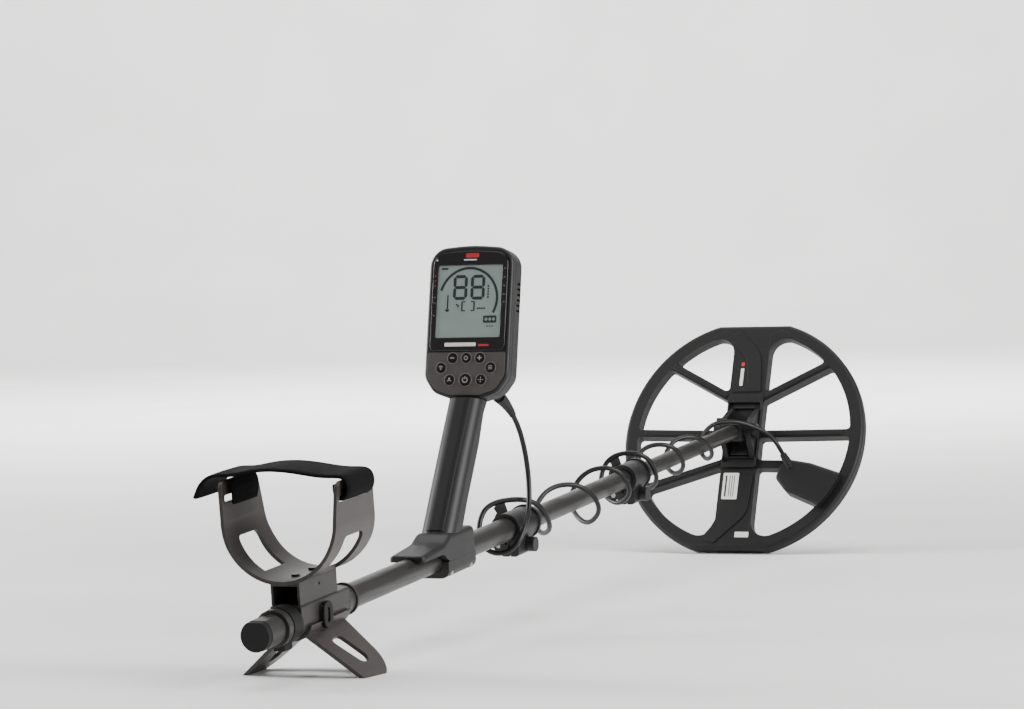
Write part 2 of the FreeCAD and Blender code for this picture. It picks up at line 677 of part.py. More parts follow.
seal = prism(
    "pod_seal", "XY", [pod_outline(1.0), pod_outline(WALL + 0.8)], -FRONT - SEAL + 0.02, "dims.gasket_depth - 0.04"
)
keep("pod_gasket", seal, pod_frame)

# Button places on the keypad: (name, up the face, to the left, large).
BUTTONS = [
    ("minus", -52.5, 13.5, False),
    ("accept", -52.5, 0.0, False),
    ("plus", -52.5, -13.5, False),
    ("detect", -61.5, 24.5, False),
    ("settings", -61.5, -24.5, False),
    ("profile", -72.7, 15.5, False),
    ("power", -72.7, 0.0, True),
    ("locate", -72.7, -15.5, False),
]

front_block = prism("pod_front_block", "XY", [pod_outline()], -FRONT, f"dims.front_depth + {FACE}")
soften(front_block, "3", flat_at("Z", FACE))
front_hollow = prism(
    "pod_front_hollow", "XY", [pod_outline(WALL + 0.4)], -FRONT - 2, f"dims.front_depth - 2 + {FACE}"
)
glass_outline = [
    (47.5, 0, 160), (44.8, HALF - 4.4, 12), (-46, HALF - 4.4, 5), (-46, -HALF + 4.4, 5), (44.8, -HALF + 4.4, 12)
]
glass_seat = prism("pod_glass_seat", "XY", [rounded(glass_outline)], -2.6, "4")
display_way = box("pod_display_way", (-size("display_length") / 2, -size("display_width") / 2, -12),
                  (size("display_length") / 2, size("display_width") / 2, 2))
button_ways = [
    cylinder(
        f"pod_{name}_way",
        f"dims.{'large' if large else 'button'}_cap + 2 * dims.button_gap",
        "12",
        (up, left, -8),
        Z,
    )
    for name, up, left, large in BUTTONS
]
keep("pod_front_shell", cut("pod_front", front_block, front_hollow, glass_seat, display_way, *button_ways), pod_frame)

window = prism(
    "display_glass", "XY",
    [
        rounded(
            [
                (47.3, 0, 160), (44.6, HALF - 4.6, 12), (-45.8, HALF - 4.6, 5), (-45.8, -HALF + 4.6, 5),
                (44.6, -HALF + 4.6, 12),
            ]
        )
    ],
    -2.5, "2.5",
)
soften(window, "0.5", flat_at("Z", 0))
keep("display_window", window, pod_frame)
panel = box("lcd_block", (-32, -30.5, -5.6), (32, 30.5, -2.7))
keep("lcd_panel", fuse("lcd_solid", panel, box("lcd_ledge", (-33.2, -22, -5.6), (-31, 22, -4.2))), pod_frame)
board = prism(
    "board_outline", "XY", [pod_outline(WALL + 4)], -12.4, "1.6"
)
keep("circuit_board", board, pod_frame)
membrane = prism(
    "membrane_outline", "XY",
    [rounded([(-47, 31, 3), (-78, 31, 6), (-78, -31, 6), (-47, -31, 3)])],
    -6.4, "1.2",
)
keep("keypad_membrane", membrane, pod_frame)
driver = cylinder("speaker_basket", "34", "4", (22, 0, -24), Z)
magnet = cylinder("speaker_magnet", "18", "6", (22, 0, -20.1), Z)
keep("speaker", fuse("speaker_solid", driver, magnet), pod_frame)

for name, up, left, large in BUTTONS:
    cap = "dims.large_cap" if large else "dims.button_cap"
    stem_at = (up, left, -5.2 + size("button_travel"))
    stem = cylinder(f"{name}_stem", f"{cap} - 2", "4 - dims.button_travel", stem_at, Z)
    head = cylinder(f"{name}_head", cap, f"dims.button_rise + 2", (up, left, FACE - 2), Z)
    keep(f"button_{name}", fuse(f"{name}_solid", stem, head), pod_frame)

# The cable's socket and its threaded ring low on the pod's back, and the cover of the
# headphone and charging sockets on the back.
socket = cylinder("socket_barrel", "11", "12", SOCKET_AT, SOCKET_WAY)
socket_core = cylinder("socket_core", "9", "6", SOCKET_AT + SOCKET_WAY * 11.5, SOCKET_WAY)
keep("cable_socket", fuse("socket_solid", socket, socket_core), pod_frame)
ring = cylinder("connector_ring_body", "14", "11", SOCKET_AT + SOCKET_WAY * 12.2, SOCKET_WAY)
ring_tail = cone("connector_ring_tail", "12", "7", "10", SOCKET_AT + SOCKET_WAY * 23, SOCKET_WAY)
ring_way = cylinder("connector_ring_way", "9.2", "6", SOCKET_AT + SOCKET_WAY * 12, SOCKET_WAY)
ring_solid = fuse("connector_ring_solid", ring, ring_tail)
keep("connector_ring", cut("connector_ring_cut", ring_solid, ring_way), pod_frame)
SOCKET_END = pod_frame.multVec(SOCKET_AT + SOCKET_WAY * 33)
SOCKET_RUN = pod_frame.multVec(SOCKET_AT + SOCKET_WAY * 52)
cover_outline = rounded([(-8, 12, 5), (-8, -12, 5), (-24, -12, 5), (-24, 12, 5)])
cover = prism("port_cover_body", "XY", [cover_outline], -POD_DEPTH - 2.2, "2.1")
keep("port_cover", cover, pod_frame)
screw_places = [(40, 30), (40, -30), (-66, 32), (-66, -32)]
pod_screws = [
    cylinder(f"pod_screw{i}", "5.2", "1.4", (a, b, -POD_DEPTH - 1.5), Z) for i, (a, b) in enumerate(screw_places)
]
keep("pod_screws", fuse("pod_screws_four", *pod_screws), pod_frame)

# --- Lower end and search coil ------------------------------------------------------------------

PIVOT = size("pivot_station")
knuckle_boss = cylinder("knuckle_boss", "22", "dims.knuckle_width", (PIVOT, -size("knuckle_width") / 2, 0), Y)
knuckle_block = prism(
    "knuckle_block", "XZ",
    [rounded([(1193, -9.2), (1193, 9.2), (1200, 10.6), (PIVOT, 10.9), (PIVOT, -10.9), (1200, -10.6)])],
    0, "dims.knuckle_width", symmetric=True,
)
knuckle_plug = cylinder("knuckle_plug", "dims.lower_inner - 2 * dims.fit_gap", "36", (1160, 0, 0), X)
knuckle_bore = cylinder("knuckle_bore", "dims.pivot_bolt + 0.1", "40", (PIVOT, -20, 0), Y)
knuckle_solid = fuse("knuckle_solid", knuckle_boss, knuckle_block, knuckle_plug)
keep("tube_knuckle", cut("knuckle_cut", knuckle_solid, knuckle_bore))

washers = []
for side in (-1, 1):
    inner_face = side * (size("knuckle_width") / 2 + 0.05)
    washer = cylinder(f"washer_disc{side + 1}", "21", "2", (PIVOT, inner_face, 0), Y * side)
    bore = cylinder(f"washer_bore{side + 1}", "dims.pivot_bolt + 0.1", "6", (PIVOT, inner_face - 3, 0), Y)
    washers.append(cut(f"washer{side + 1}", washer, bore))
keep("friction_washers", fuse("washers_pair", *washers))

a = math.radians(size("coil_lean"))
up_coil, out_coil = Vector(math.cos(a), 0, math.sin(a)), Vector(-math.sin(a), 0, math.cos(a))
coil_heart = Vector(PIVOT, 0, 0) - out_coil * size("pivot_height")
coil_frame = leaning(size("coil_lean"), coil_heart.x, coil_heart.z)

R, FLAT, RIM = size("coil_radius"), size("coil_flat"), size("rim_width")
SHELL_LOW, SHELL_TOP = -5.0, -5.0 + size("shell_height")


def trimmed_disc(radius, flat):
    """A circle with two straight edges, the coil's outline."""
    half = math.sqrt(radius**2 - flat**2)
    return [
        Part.Arc(Vector(flat, half, 0), Vector(0, radius, 0), Vector(-flat, half, 0)),
        Part.LineSegment(Vector(-flat, half, 0), Vector(-flat, -half, 0)),
        Part.Arc(Vector(-flat, -half, 0), Vector(0, -radius, 0), Vector(flat, -half, 0)),
        Part.LineSegment(Vector(flat, -half, 0), Vector(flat, half, 0)),
    ]


def spoke(name, inner_end, outer_end, width):
    """One straight spoke, as a prism between two points of the coil's plane."""
    start, end = Vector(*inner_end, 0), Vector(*outer_end, 0)
    side = (end - start).normalize().cross(Z) * (width / 2)
    ring = [start + side, end + side, end - side, start - side]
    outline = [Part.LineSegment(p, q) for p, q in zip(ring, ring[1:] + ring[:1])]
    return prism(name, "XY", [outline], -20, "60")


# The openings are a disc inside the rim, less the band, the spokes and the cable's wing.
BAND = 21.0
inner_disc = prism("coil_inner_disc", "XY", [circle(0, 0, R - RIM)], -30, "80")
flare = 26.0
band_outline = rounded(
    [
        (140, BAND + 40), (112, BAND, flare), (-112, BAND, flare), (-140, BAND + 40),
        (-140, -BAND - 40), (-112, -BAND, flare), (112, -BAND, flare), (140, -BAND - 40),
    ]
)
solid_parts = [prism("coil_band", "XY", [band_outline], -20, "60")]
for side in (1, -1):
    name = "left" if side > 0 else "right"
    solid_parts.append(spoke(f"coil_upper_spoke_{name}", (41, side * 10), (36 + 0.535 * 132, side * 132), 9))
    solid_parts.append(spoke(f"coil_middle_spoke_{name}", (2, side * 10), (4, side * 135), 8.6))
solid_parts.append(spoke("coil_lower_spoke", (-28.5, 10), (-31 - 0.35 * 112, 132), 8.8))
solid_parts.append(spoke("coil_wing_root", (-33, -10), (-34, -66), 9.5))
wing_outline = rounded(
    [
        (-30, -62, 3), (-34, -86, 30), (-46, -122), (-60, -132), (-92, -104), (-81, -94, 30), (-66, -58, 9),
        (-52, -46, 6), (-37, -50, 5)
    ]
)
solid_parts.append(prism("coil_wing", "XY", [wing_outline], -20, "60"))
openings = cut("coil_openings", inner_disc, fuse("coil_solid_parts", *solid_parts))
doc.recompute()
openings_soft = doc.addObject("Part::Fillet", "coil_openings_soft")
openings_soft.Base = openings
softened = []
for i, edge in enumerate(openings.Shape.Edges, start=1):
    bounds = edge.BoundBox
    in_wing = bounds.XMin < -25 and bounds.YMin < -30
    if bounds.ZLength > 10 and bounds.XLength < 1e-3 and not in_wing:
        corner = 4.0 if abs(bounds.XMin) < 95 else 10.0
        softened.append((i, corner, corner))
openings_soft.Edges = softened

shell_block = prism("coil_shell_block", "XY", [trimmed_disc(R, FLAT)], SHELL_LOW, "dims.shell_height")
soften(shell_block, "4", flat_at("Z", SHELL_TOP))
channel = prism(
    "coil_channel", "XY", [trimmed_disc(R - 3, FLAT - 2.4), circle(0, 0, R - RIM + 2.6)], SHELL_LOW - 1, "10"
)
EAR_IN = size("ear_gap") / 2
PIVOT_UP = size("pivot_height")
ears = []
for side in (1, -1):
    start = EAR_IN if side > 0 else -EAR_IN - size("ear_width")
    outline = rounded([(-30, 5), (-12, PIVOT_UP + 4, 12), (0, PIVOT_UP + 13, 12), (14, PIVOT_UP + 4, 12), (36, 5)])
    ears.append(prism(f"coil_ear{side + 1}", "XZ", [outline], start, "dims.ear_width"))
bolt_way = cylinder("coil_bolt_way", "dims.pivot_bolt + 0.1", "60", (0, -30, PIVOT_UP), Y)
wing_cap = prism("coil_wing_cap", "XY", [wing_outline], SHELL_TOP - 1, "9")
soften(wing_cap, "3.5", flat_at("Z", SHELL_TOP + 8))
rim_disc = prism("coil_wing_limit", "XY", [circle(0, 0, R - RIM + 4)], 0, "40")
coil_plate = cut("coil_plate", shell_block, openings_soft)
shell_solid = fuse("coil_shell_solid", coil_plate, *ears, common("coil_wing_top", wing_cap, rim_disc))
keep("coil_shell", cut("coil_shell_cut", shell_solid, channel, bolt_way), coil_frame)

skid_low = SHELL_LOW - size("skid_height")
skid_block = prism("skid_block", "XY", [trimmed_disc(R, FLAT)], skid_low, "dims.skid_height - 0.02")
soften(skid_block, "1.4", flat_at("Z", skid_low))
keep("skid_plate", cut("skid_cut", skid_block, openings_soft), coil_frame)

winding = prism(
    "winding_ring", "XY", [trimmed_disc(R - 3.5, FLAT - 2.9), circle(0, 0, R - RIM + 3.1)], SHELL_LOW + 0.2, "8"
)
keep("coil_winding", winding, coil_frame)

EAR_OUT = EAR_IN + size("ear_width")
bolt_shank = cylinder("pivot_bolt_shank", "dims.pivot_bolt", str(2 * EAR_OUT + 8), (0, -EAR_OUT - 0.1, PIVOT_UP), Y)
bolt_head = cylinder("pivot_bolt_head", "16", "5", (0, -EAR_OUT - 5.1, PIVOT_UP), Y)
keep("pivot_bolt", fuse("pivot_bolt_solid", bolt_shank, bolt_head), coil_frame)
nut_disc = cylinder("pivot_nut_disc", "17", "7", (0, EAR_OUT + 0.1, PIVOT_UP), Y)
nut_wing = prism(
    "pivot_nut_wing", "XZ",
    [rounded([(-15, PIVOT_UP - 2.2, 2), (15, PIVOT_UP - 2.2, 2), (15, PIVOT_UP + 2.2, 2), (-15, PIVOT_UP + 2.2, 2)])],
    EAR_OUT + 1.5, "5.5",
)
nut_bore = cylinder("pivot_nut_bore", "dims.pivot_bolt + 0.05", "20", (0, EAR_OUT - 2, PIVOT_UP), Y)
keep("pivot_nut", cut("pivot_nut_cut", fuse("pivot_nut_solid", nut_disc, nut_wing), nut_bore), coil_frame)

# --- Cable --------------------------------------------------------------------------------------


def on_coil(up, left, out):
    """A point given in the coil's frame, in the shaft's."""
    return coil_frame.multVec(Vector(up, left, out))


# From the connector forward and down on the right, once under the tube and up on the left.
DROP = [
    (SOCKET_END.x, SOCKET_END.y, SOCKET_END.z), (SOCKET_RUN.x, SOCKET_RUN.y, SOCKET_RUN.z),
    (543, -12.5, 97), (554, -13.5, 71), (556, -15, 44), (546, -18, 19), (528, -20, 3), (514, -16, -14),
    (508, 0, -21), (511, 18, -14), (521, 25, 6), (536, 18.7, 25.5),
]
# Each wrap round the shaft: station and radius of its top, and radius of its pass under the tubes.
WRAPS = [
    (551, 26, 17), (683, 18.5, 26), (786, 20, 20), (859, 26, 18.5), (956, 20.5, 16), (1042, 15.6, 15.6), (1166, 16, 0)
]
POINTS_PER_WRAP = 5
# Over the end of the shaft and down to the boot on the coil's wing.
BOOT_TIP, BOOT_ROOT = Vector(-24, -52.5, 14.6), Vector(-40, -62.5, 10.5)
BOOT_WAY = (BOOT_ROOT - BOOT_TIP).normalize()
LANDING = [
    on_coil(-1, -8, 60), on_coil(-2, -25, 44), on_coil(-5, -38, 29), on_coil(*(BOOT_TIP - BOOT_WAY * 15))
]


def wrap_points():
    """The wraps' points: the helix runs from the left over the top to the right and under."""
    points = []
    for (start, top, under), (end, next_top, _) in zip(WRAPS, WRAPS[1:]):
        for k in range(POINTS_PER_WRAP):
            share = (k + 0.5) / POINTS_PER_WRAP
            turn = math.radians(90 + 360 * share)
            ends = top + (next_top - top) * share
            low = math.sin(math.pi * share) ** 2
            radius = (ends * (1 - low) + under * low) / math.cos(math.pi / POINTS_PER_WRAP)
            points.append(
                Vector(start + (end - start) * share, radius * math.cos(turn), radius * math.sin(turn))
            )
    return points


route = [Vector(*p) for p in DROP] + wrap_points() + LANDING + [on_coil(*BOOT_TIP)]


def path_of(points):
    """Straight runs joined by tangent arcs, as (edge, is it an arc) in order; radii are printed."""
    pieces, last, radii = [], points[0], []
    for before, corner, after in zip(points, points[1:], points[2:]):
        back, on = before - corner, after - corner
        shorter = min(back.Length, on.Length)
        half_turn = (math.pi - back.getAngle(on)) / 2
        radius = 0.45 * shorter / math.tan(half_turn)
        radii.append(radius)
        reach = 0.45 * shorter
        start, end = corner + back.normalize() * reach, corner + on.normalize() * reach
        middle = (back + on).normalize()
        top = corner + middle * (radius / math.cos(half_turn) - radius)
        pieces.append((last, start, None))
        pieces.append((start, end, top))
        last = end
    pieces.append((last, points[-1], None))
    return pieces, radii


pieces, radii = path_of(route)
print("cable bend radii:", " ".join(f"{r:.0f}" for r in radii))
runs = [(q - p).Length for p, q in zip(route, route[1:])]
print("cable runs:", " ".join(f"{r:.0f}" for r in runs))

# The cable is divided in the middle of its run over each lock and of its run over the shaft's end.
DIVISIONS = [len(DROP) - 1 + POINTS_PER_WRAP * i for i in (0, 3, 6)]
STRETCHES = ("cable_upper", "cable_middle", "cable_lower", "cable_end")


def cable_tube(label, path):
    """One stretch of the cable: a round section along its part of the path."""
    edges = []
    for start, end, top in path:
        if top is None:
            edges.append(Part.LineSegment(start, end).toShape())
        else:
            edges.append(Part.Arc(start, top, end).toShape())
    spine = Part.Wire(edges)
    start, ahead = path[0][0], path[0][1]
    section = Part.Wire(Part.makeCircle(size("cable_width") / 2, start, ahead - start))
    solid = spine.makePipeShell([section], True, False)
    expected = math.pi * (size("cable_width") / 2) ** 2 * spine.Length
    print(f"{label}: length {spine.Length:.0f}, volume {solid.Volume / expected:.4f} of section x length")
    item = doc.addObject("Part::Feature", f"{label}_solid")
    item.Shape = solid
    keep(label, item)
    return spine.Length


stretches = [[]]
for i, (start, end, top) in enumerate(pieces):
    if top is None and i // 2 in DIVISIONS:
        middle = (start + end) * 0.5
        stretches[-1].append((start, middle, None))
        stretches.append([(middle, end, None)])
    else:
        stretches[-1].append((start, end, top))
total = 0.0
for label, path in zip(STRETCHES, stretches):
    total += cable_tube(label, path)
print(f"cable length {total:.0f} mm")

# The boot takes the cable into the coil's wing.
boot = cone("coil_boot_cone", "7.4", "12", str((BOOT_ROOT - BOOT_TIP).Length), BOOT_TIP, BOOT_WAY)
keep("coil_cable_boot", cut("coil_boot_cut", boot, shell_solid), coil_frame)

# --- Standing the detector up and writing it out -------------------------------------------------

doc.recompute()
for item, frame in nodes:
    item.Placement = standing.multiply(frame)
doc.recompute()

failed = [item.Name for item in doc.Objects if {"Invalid", "Error"} & set(item.State)]
if failed:
    raise RuntimeError(f"failed to build: {failed}")
bounds = FreeCAD.BoundBox()
os.makedirs("parts", exist_ok=True)
for item, _ in nodes:
    shape = item.Shape
    if shape.isNull() or not shape.isValid() or not shape.Solids:
        raise RuntimeError(f"{item.Label} has no valid solid")
    if item.Label not in STRETCHES:
        bounds.add(shape.optimalBoundingBox())
    shape.exportStep(f"parts/{item.Label}.step")
across = ", ".join(
    f"{axis} {getattr(bounds, axis + 'Min'):.2f} {getattr(bounds, axis + 'Max'):.2f}" for axis in "XYZ"
)
print(f"{len(nodes)} sub-parts; {across}")
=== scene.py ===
import json
import math

import bpy
from bpy.props import FloatProperty, FloatVectorProperty, PointerProperty
from mathutils import Matrix, Vector


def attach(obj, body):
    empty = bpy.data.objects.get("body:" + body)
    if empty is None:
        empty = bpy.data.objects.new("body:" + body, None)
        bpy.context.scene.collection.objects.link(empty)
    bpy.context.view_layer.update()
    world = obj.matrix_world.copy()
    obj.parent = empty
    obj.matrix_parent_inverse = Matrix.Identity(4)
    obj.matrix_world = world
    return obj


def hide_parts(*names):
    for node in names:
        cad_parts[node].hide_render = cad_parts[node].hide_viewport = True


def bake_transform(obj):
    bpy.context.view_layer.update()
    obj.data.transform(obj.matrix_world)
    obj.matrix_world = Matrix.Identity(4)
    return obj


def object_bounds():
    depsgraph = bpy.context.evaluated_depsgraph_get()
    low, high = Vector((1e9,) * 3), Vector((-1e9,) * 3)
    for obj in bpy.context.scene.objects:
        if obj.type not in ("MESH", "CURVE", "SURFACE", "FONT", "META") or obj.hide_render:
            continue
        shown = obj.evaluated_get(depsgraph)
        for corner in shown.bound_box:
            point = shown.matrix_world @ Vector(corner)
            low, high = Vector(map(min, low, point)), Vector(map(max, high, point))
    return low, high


bl_info = {
    "name": "Metal Detector",
    "version": (1, 0, 0),
    "blender": (4, 5, 0),
    "location": "View3D > Sidebar > Detector",
    "description": "Finishes, strap, cable, display and printed details of a hand-held metal detector",
    "category": "Object",
}

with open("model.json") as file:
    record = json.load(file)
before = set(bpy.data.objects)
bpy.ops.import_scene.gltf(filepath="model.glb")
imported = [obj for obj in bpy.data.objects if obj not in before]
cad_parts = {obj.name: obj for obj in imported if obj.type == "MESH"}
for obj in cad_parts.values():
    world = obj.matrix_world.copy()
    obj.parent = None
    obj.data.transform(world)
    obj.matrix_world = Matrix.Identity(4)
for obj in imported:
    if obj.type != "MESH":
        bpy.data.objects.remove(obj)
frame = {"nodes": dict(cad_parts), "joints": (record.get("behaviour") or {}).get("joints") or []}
CAD_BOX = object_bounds()

# --- Frames -------------------------------------------------------------------------------------
# Pieces are drawn in millimetres in three frames: the shaft's (X forward from its rear end, Y to the
# user's left, Z up from it), and those of the control pod and the search coil, which have X up their
# lean, Y to the left and Z out of the face.

MM = 0.001
WAVE = 0.314  # distance between the bands of a wave pattern whose scale is 1
JOINTS = {joint["name"]: joint for joint in frame["joints"]}
PIVOT_STATION, PIVOT_HEIGHT = 1213.0, 25.7
POD_LEAN, POD_STATION, POD_HEIGHT = 74.4, 471.7, 220.7
COIL_LEAN = 61.9


def shaft_frame():
    """The shaft's frame, from the telescope's direction and the coil's pivot."""
    ahead = Vector(JOINTS["middle_slide"]["axis"]).normalized()
    rear = Vector(JOINTS["coil_tilt"]["pos_m"]) - ahead * PIVOT_STATION * MM
    side = Vector((0, 1, 0))
    turn = Matrix((ahead, side, ahead.cross(side))).transposed().to_4x4()
    return Matrix.Translation(rear) @ turn


def leaning(angle, station, height):
    """A frame that leans back from the shaft by an angle, at a place given in millimetres."""
    place = Matrix.Translation(Vector((station, 0, height)) * MM)
    return SHAFT @ place @ Matrix.Rotation(-math.radians(angle), 4, "Y")


SHAFT = shaft_frame()
POD = leaning(POD_LEAN, POD_STATION, POD_HEIGHT)
LEAN = math.radians(COIL_LEAN)
COIL = leaning(
    COIL_LEAN, PIVOT_STATION + PIVOT_HEIGHT * math.sin(LEAN), -PIVOT_HEIGHT * math.cos(LEAN)
)

# --- Colour and material helpers ----------------------------------------------------------------


def linear(code):
    """An sRGB hex value as linear red, green and blue."""
    shares = [int(code[i : i + 2], 16) / 255 for i in (1, 3, 5)]
    return tuple(s / 12.92 if s <= 0.04045 else ((s + 0.055) / 1.055) ** 2.4 for s in shares)


def add(tree, kind, inputs=None, **settings):
    """Adds a node, sets its properties, and sets or links its inputs."""
    node = tree.nodes.new(kind)
    for key, value in settings.items():
        setattr(node, key, value)
    for key, value in (inputs or {}).items():
        if isinstance(value, bpy.types.NodeSocket):
            tree.links.new(value, node.inputs[key])
        elif node.inputs[key].type == "RGBA":
            node.inputs[key].default_value = (*value[:3], 1.0)
        else:
            node.inputs[key].default_value = value
    return node


def new_material(name):
    """An empty material and the object's own coordinates, in metres."""
    material = bpy.data.materials.new(name)
    material.use_nodes = True
    tree = material.node_tree
    tree.nodes.clear()
    return material, tree, add(tree, "ShaderNodeTexCoord").outputs["Object"]


def finished(tree, **inputs):
    """The surface shader and the output; sockets are named with underscores for spaces."""
    shader = add(tree, "ShaderNodeBsdfPrincipled", {k.replace("_", " "): v for k, v in inputs.items()})
    add(tree, "ShaderNodeOutputMaterial", {"Surface": shader.outputs["BSDF"]})


def moulded(name, colour, worn, grain, depth, smooth, rough, edge=0.6, **sockets):
    """A moulded part: grain of a size and depth in millimetres, softened edges that shine where rubbed,
    and patches of two roughnesses, 30 mm across, as handling leaves them."""
    material, tree, place = new_material(name)
    soft = add(tree, "ShaderNodeBevel", {"Radius": edge * MM}, samples=6).outputs["Normal"]
    true = add(tree, "ShaderNodeNewGeometry").outputs["Normal"]
    facing = add(tree, "ShaderNodeVectorMath", {0: soft, 1: true}, operation="DOT_PRODUCT").outputs["Value"]
    rubbed = add(
        tree, "ShaderNodeMapRange", {"Value": facing, "From Min": 0.99, "From Max": 0.85, "To Max": 0.7}
    ).outputs["Result"]
    patches = add(tree, "ShaderNodeTexNoise", {"Vector": place, "Scale": 1 / (30 * MM), "Detail": 3.0})
    body = add(tree, "ShaderNodeMix", {"Factor": rubbed, "A": colour, "B": worn}, data_type="RGBA")
    gloss = add(
        tree, "ShaderNodeMapRange", {"Value": patches.outputs["Fac"], "To Min": smooth, "To Max": rough}
    )
    fine = add(tree, "ShaderNodeTexNoise", {"Vector": place, "Scale": 1 / (grain * MM), "Detail": 2.0})
    relief = add(
        tree,
        "ShaderNodeBump",
        {"Height": fine.outputs["Fac"], "Distance": depth * MM, "Strength": 1.0, "Normal": soft},
    )
    finished(
        tree,
        Base_Color=body.outputs[2],
        Roughness=gloss.outputs["Result"],
        Normal=relief.outputs["Normal"],
        Specular_IOR_Level=0.3,
        **sockets,
    )
    return material


# --- Materials ----------------------------------------------------------------------------------


def carbon_tube():
    """Wound carbon fibre under satin epoxy: near black, with tows that only just show."""
    material, tree, place = new_material("satin_carbon_fibre")
    tow = 3.0  # mm; real tows are 2 mm, drawn wider so that they show
    turned = add(tree, "ShaderNodeMapping", {"Vector": place, "Rotation": (0, 0, math.radians(45))})
    weave = add(
        tree,
        "ShaderNodeTexChecker",
        {
            "Vector": turned.outputs["Vector"],
            "Scale": 1 / (tow * MM),
            "Color1": (1, 1, 1),
            "Color2": (0, 0, 0),
        },
    )
    patches = add(tree, "ShaderNodeTexNoise", {"Vector": place, "Scale": 1 / (60 * MM), "Detail": 4.0})
    shade = add(
        tree,
        "ShaderNodeMix",
        {"Factor": patches.outputs["Fac"], "A": linear("#1a1817"), "B": linear("#22201f")},
        data_type="RGBA",
    )
    sheen = add(tree, "ShaderNodeMapRange", {"Value": weave.outputs["Fac"], "To Min": 0.36, "To Max": 0.42})
    relief = add(
        tree, "ShaderNodeBump", {"Height": weave.outputs["Fac"], "Distance": 0.02 * MM, "Strength": 0.5}
    )
    finished(
        tree,
        Base_Color=shade.outputs[2],
        Roughness=sheen.outputs["Result"],
        Normal=relief.outputs["Normal"],
        Specular_IOR_Level=0.35,
        IOR=1.55,
    )
    return material


def dark_nylon():
    """Glass-filled nylon, spark-textured in the mould: dark and satin, with softly shining edges."""
    return moulded(
        "textured_black_nylon", linear("#171616"), linear("#393635"), 0.7, 0.05, 0.42, 0.52, IOR=1.53
    )


def grey_nylon():
    """The armrest's nylon: a warmer, lighter grey with a finer texture, so that it shines more. The stand,
    which is black, wears it too: there the lighter grey is painted light from above.
    """
    return moulded(
        "satin_warm_grey_nylon", linear("#342f2d"), linear("#4f4a46"), 0.5, 0.03, 0.36, 0.46, IOR=1.53
    )


def saddle_nylon():
    """The armrest's saddle and collar: fine-textured nylon, darker than the cuff that they carry."""
    return moulded(
        "satin_dark_grey_nylon", linear("#2a2826"), linear("#484441"), 0.45, 0.02, 0.4, 0.5, IOR=1.53
    )


def keypad_nylon():
    """The keypad's face: fine-textured nylon in a lighter grey, which sets off the dark keys."""
    return moulded(
        "satin_grey_keypad_nylon", linear("#454240"), linear("#5f5b58"), 0.45, 0.02, 0.4, 0.5, IOR=1.53
    )


def key_collar():
    """The keys' collars: pale grey nylon, polished, so that they draw thin rings."""
    return moulded(
        "polished_grey_collar", linear("#6b6764"), linear("#8d8986"), 0.4, 0.01, 0.28, 0.34, IOR=1.53
    )


def coil_abs():
    """The coil's ABS shell: coarse-textured and matt, nearly black."""
    return moulded("textured_matt_abs", linear("#0f0e0e"), linear("#2b2929"), 0.9, 0.07, 0.46, 0.58, IOR=1.5)


def rubber():
    """Moulded elastomer: black and matt, with a broad weak shine."""
    return moulded(
        "matt_black_elastomer", linear("#090909"), linear("#1a1919"), 0.8, 0.05, 0.55, 0.68, IOR=1.5
    )


def silicone():
    """Silicone keys: dark and smooth, with soft edges."""
    return moulded(
        "dark_silicone", linear("#111010"), linear("#2e2c2b"), 0.4, 0.01, 0.34, 0.42, edge=0.5, IOR=1.43
    )


def cable_jacket():
    """Polyurethane jacket, extruded: black and satin, with faint lengthwise waviness."""
    return moulded(
        "satin_polyurethane", linear("#0c0b0b"), linear("#1f1d1d"), 4.0, 0.08, 0.3, 0.4, edge=0.2, IOR=1.5
    )


def neoprene():
    """Foam laminated between knitted nylon: black and matt, with a fine knit."""
    material, tree, place = new_material("knitted_neoprene")
    stitch = 1.1  # mm; a real stitch is 0.5 mm, drawn larger so that it shows
    ridges = {"Vector": place, "Scale": WAVE / (stitch * MM), "Distortion": 1.5}
    lines, rows = (add(tree, "ShaderNodeTexWave", ridges, bands_direction=axis) for axis in "XY")
    crossed = {0: lines.outputs["Fac"], 1: rows.outputs["Fac"]}
    knit = add(tree, "ShaderNodeMath", crossed, operation="MULTIPLY")
    patches = add(tree, "ShaderNodeTexNoise", {"Vector": place, "Scale": 1 / (18 * MM), "Detail": 4.0})
    shade = add(
        tree,
        "ShaderNodeMix",
        {"Factor": patches.outputs["Fac"], "A": linear("#060606"), "B": linear("#0d0d0d")},
        data_type="RGBA",
    )
    relief = add(
        tree, "ShaderNodeBump", {"Height": knit.outputs["Value"], "Distance": 0.25 * MM, "Strength": 0.7}
    )
    finished(
        tree,
        Base_Color=shade.outputs[2],
        Roughness=0.82,
        Normal=relief.outputs["Normal"],
        Specular_IOR_Level=0.1,
        IOR=1.45,
    )
    return material


def plain(name, colour, roughness, grain=1.0, depth=0.01, **sockets):
    """A smooth coat or print with slight unevenness, its grain and depth in millimetres."""
    material, tree, place = new_material(name)
    spots = add(tree, "ShaderNodeTexNoise", {"Vector": place, "Scale": 1 / (grain * MM), "Detail": 3.0})
    faded = tuple(c * 0.82 for c in colour)
    shade = add(
        tree, "ShaderNodeMix", {"Factor": spots.outputs["Fac"], "A": faded, "B": colour}, data_type="RGBA"
    )
    relief = add(tree, "ShaderNodeBump", {"Height": spots.outputs["Fac"], "Distance": depth * MM})
    finished(
        tree,
        Base_Color=shade.outputs[2],
        Roughness=roughness,
        Normal=relief.outputs["Normal"],
        **sockets,
    )
    return material


